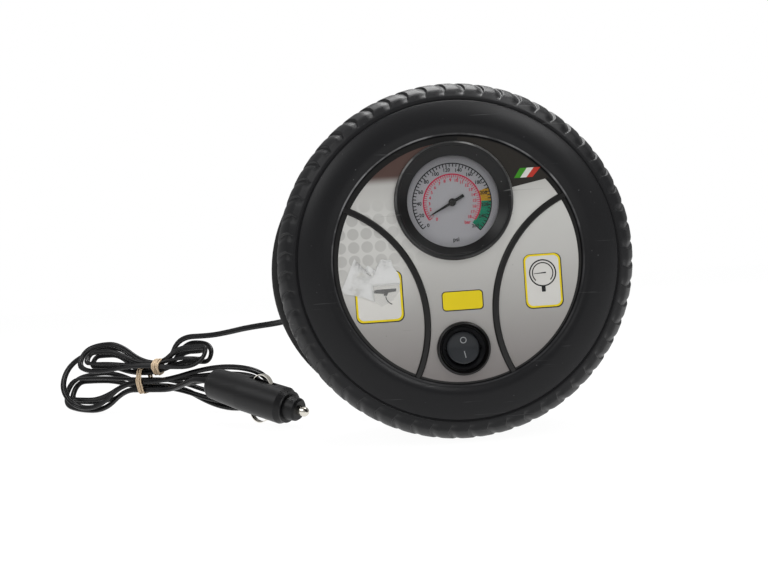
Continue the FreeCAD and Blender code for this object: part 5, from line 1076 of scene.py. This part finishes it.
# %% Way of a taut band
def taut_way(spots, clearance, steps=72):
    """Evenly spaced points round circles of one radius, as a taut band would lie."""
    rim = sorted({tuple(round(part, 4) for part in around(clearance, degrees, *spot))
                  for spot in spots for degrees in range(0, 360, 15)})
    hull = []
    for ordered in (rim, rim[::-1]):
        chain = []
        for spot in ordered:
            while len(chain) > 1 and ((chain[-1][0] - chain[-2][0]) * (spot[1] - chain[-2][1])
                                      - (chain[-1][1] - chain[-2][1]) * (spot[0] - chain[-2][0])) <= 0:
                chain.pop()
            chain.append(spot)
        hull += chain[:-1]
    runs = [math.dist(a, b) for a, b in zip(hull, hull[1:] + hull[:1])]
    way, walked, number = [], 0.0, 0
    for step in range(steps):
        target = sum(runs) * step / steps
        while walked + runs[number] < target:
            walked += runs[number]
            number += 1
        (ax, az), (bx, bz) = hull[number], hull[(number + 1) % len(hull)]
        share = (target - walked) / runs[number]
        way.append((ax + (bx - ax) * share, az + (bz - az) * share))
    return way


BAND_THICK = 0.6
BAND_RIM = 8
NEAR = 15


def tie(name, along, slope, skew, low, high, strands):
    """Strands of a rubber band round the lead's runs that pass a slanted plane between two heights."""
    def past(spot):
        away = spot / MM - MIDDLE
        return away.dot(ALONG) - along - slope * away.z - skew * away.dot(ACROSS)

    spots = []
    for a, b in zip(lead_line, lead_line[1:]):
        if past(a) * past(b) < 0:
            spot = a.lerp(b, past(a) / (past(a) - past(b))) / MM
            across = (spot - MIDDLE).dot(ACROSS)
            if low < spot.z < high and abs(across) < NEAR:
                spots.append((across, spot.z))
    way = taut_way(spots, (STRAND + SPACING) / MM * 0.8 + BAND_THICK)
    points, faces, count = [], [], len(way)
    mid_x, mid_z = (sum(parts) / count for parts in zip(*way))
    for strand in range(strands):
        faces += ring_faces(count, BAND_RIM, closed=True, first=len(points))
        line = []
        for step, (x, z) in enumerate(way):
            turn = 2 * math.pi * step / count
            shift = (strand - (strands - 1) / 2) * BAND_THICK * 1.75 + 0.55 * math.sin(turn + strand * 2.1)
            lift = 0.25 + 0.25 * math.sin(turn * 2 + strand * 1.7)
            out = Vector((x - mid_x, z - mid_z)).normalized() * lift
            line.append(from_tie(along + slope * (z - MIDDLE.z) + skew * x + shift, x + out.x,
                                 z + out.y - MIDDLE.z))
        for step, spot in enumerate(line):
            ahead = (line[(step + 1) % count] - line[step - 1]).normalized()
            side = (ALONG - ahead * ALONG.dot(ahead)).normalized()
            over = ahead.cross(side)
            for degrees in range(0, 360, 360 // BAND_RIM):
                u, v = around(BAND_THICK, degrees)
                points.append((spot + side * u + over * v * 0.75) * MM)
    print(name, "goes round", len(spots), "runs")
    return piece(name, points, faces, BAND, outward=True)


upper_tie = tie("upper_tie", 9.0, 0.0, -0.6, 24.0, 60.0, strands=5)
lower_tie = tie("lower_tie", -4.0, -0.25, -0.4, 0.0, 31.0, strands=4)
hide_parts("hank_bands")
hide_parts("hank_bands")

# %% Sweep the lead
lead = swept("supply_lead", lead_line, twin_section(), FLEX, flat_first=UP.cross(GLAND_WAY))
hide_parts("power_lead", "cord_hank", "hank_tail")

# %% [markdown]
# ## The air hose
# The hose leaves an elbow in the channel at the back, swings loosely round the left side of the
# wheel and comes back to its chuck. It is a plain round rubber hose, so its section is a circle.

# %% Hose
CHUCK_WAY = Vector((0.498097, 0.087156, 0.862730))
chuck_foot = Vector((41.6542, 32.9541, 47.1472))
HOSE_CORNERS = ((58, 25.2, -3.85), (58, 25.2, 15.5), (42.5, 25.2, 42.5), (19, 31.5, 58), (-7, 39, 67),
                (-36, 42, 73), (-69.5, 42, 59), (-92.5, 42, 25.5), (-96, 42, -14.5), (-79, 42, -51.5),
                (-46, 42.5, -74.5), (-14, 43.5, -77), (9, 41, -72))
hose_route = [place(*corner) / MM for corner in HOSE_CORNERS] + [chuck_foot - CHUCK_WAY * 22, chuck_foot]
hose_line, hose_length = centreline(hose_route)
hose = swept("rubber_hose", hose_line, [around(4 * MM, degrees) for degrees in range(0, 360, 15)], RUBBER)
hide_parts("air_hose")
print("hose:", round(hose_length, 3), "m")

# %% [markdown]
# ## Floor and light
# The floor and the background are white to the camera, and the floor still takes a soft shadow.
# A broad lamp above and a little behind, two weaker ones in front and a pale sky light the object:
# a plain level, at which colours render as they are written.

# %% Floor
FLOOR_REACH = 30


def seen_by(tree, *kinds):
    """One where the ray is of one of these kinds, zero elsewhere."""
    rays = tree.node("ShaderNodeLightPath", {}).outputs
    return tree.most(*(Value(tree, rays[f"Is {kind} Ray"]) for kind in kinds))


floor_mesh = bpy.data.meshes.new("floor")
corners = ((-FLOOR_REACH, -FLOOR_REACH), (FLOOR_REACH, -FLOOR_REACH), (FLOOR_REACH, FLOOR_REACH),
           (-FLOOR_REACH, FLOOR_REACH))
floor_mesh.from_pydata([(x, y, -0.0001) for x, y in corners], [], [(0, 1, 2, 3)])
floor = shown("floor", floor_mesh)
paper, tree, shader = new_material("white_floor")
tree.fill(shader, {"Base Color": (0.9, 0.9, 0.9), "Roughness": 0.9})
surface = Value(tree, paper.node_tree.nodes["Principled BSDF"].outputs[0])
glow = tree.get("ShaderNodeEmission", 0, {"Color": (1, 1, 1), "Strength": 1.07})
share = seen_by(tree, "Camera", "Glossy", "Transmission") * 0.9
blend = tree.get("ShaderNodeMixShader", 0, {0: share, 1: surface, 2: glow})
tree.feed(paper.node_tree.nodes["Material Output"].inputs["Surface"], blend)
floor_mesh.materials.append(paper)

# %% Sky and lamps
SKY = 0.36
world = bpy.data.worlds.new("studio")
bpy.context.scene.world = world
world.use_nodes = True
tree = Tree(world.node_tree)
tree.fill(world.node_tree.nodes["Background"].inputs, {
    "Color": (1, 1, 1), "Strength": SKY + seen_by(tree, "Camera", "Transmission") * (1 - SKY)})


def lamp(name, location, size, power):
    """A round lamp turned to the wheel."""
    data = bpy.data.lights.new(name, "AREA")
    data.shape, data.size, data.energy = "DISK", size, power
    item = shown(name, data)
    item.location = location
    item.rotation_mode = "QUATERNION"
    item.rotation_quaternion = (Vector((0, 0, 0.08)) - Vector(location)).to_track_quat("-Z", "Y")


lamp("overhead_lamp", (0.1, 0.3, 1.2), 0.9, 13.0)
lamp("upper_right_lamp", (0.75, -0.7, 1.15), 0.6, 7.0)
lamp("upper_left_lamp", (-0.9, -0.55, 0.9), 0.7, 4.0)
bpy.context.scene.view_settings.view_transform = "Standard"
print("stage ready")
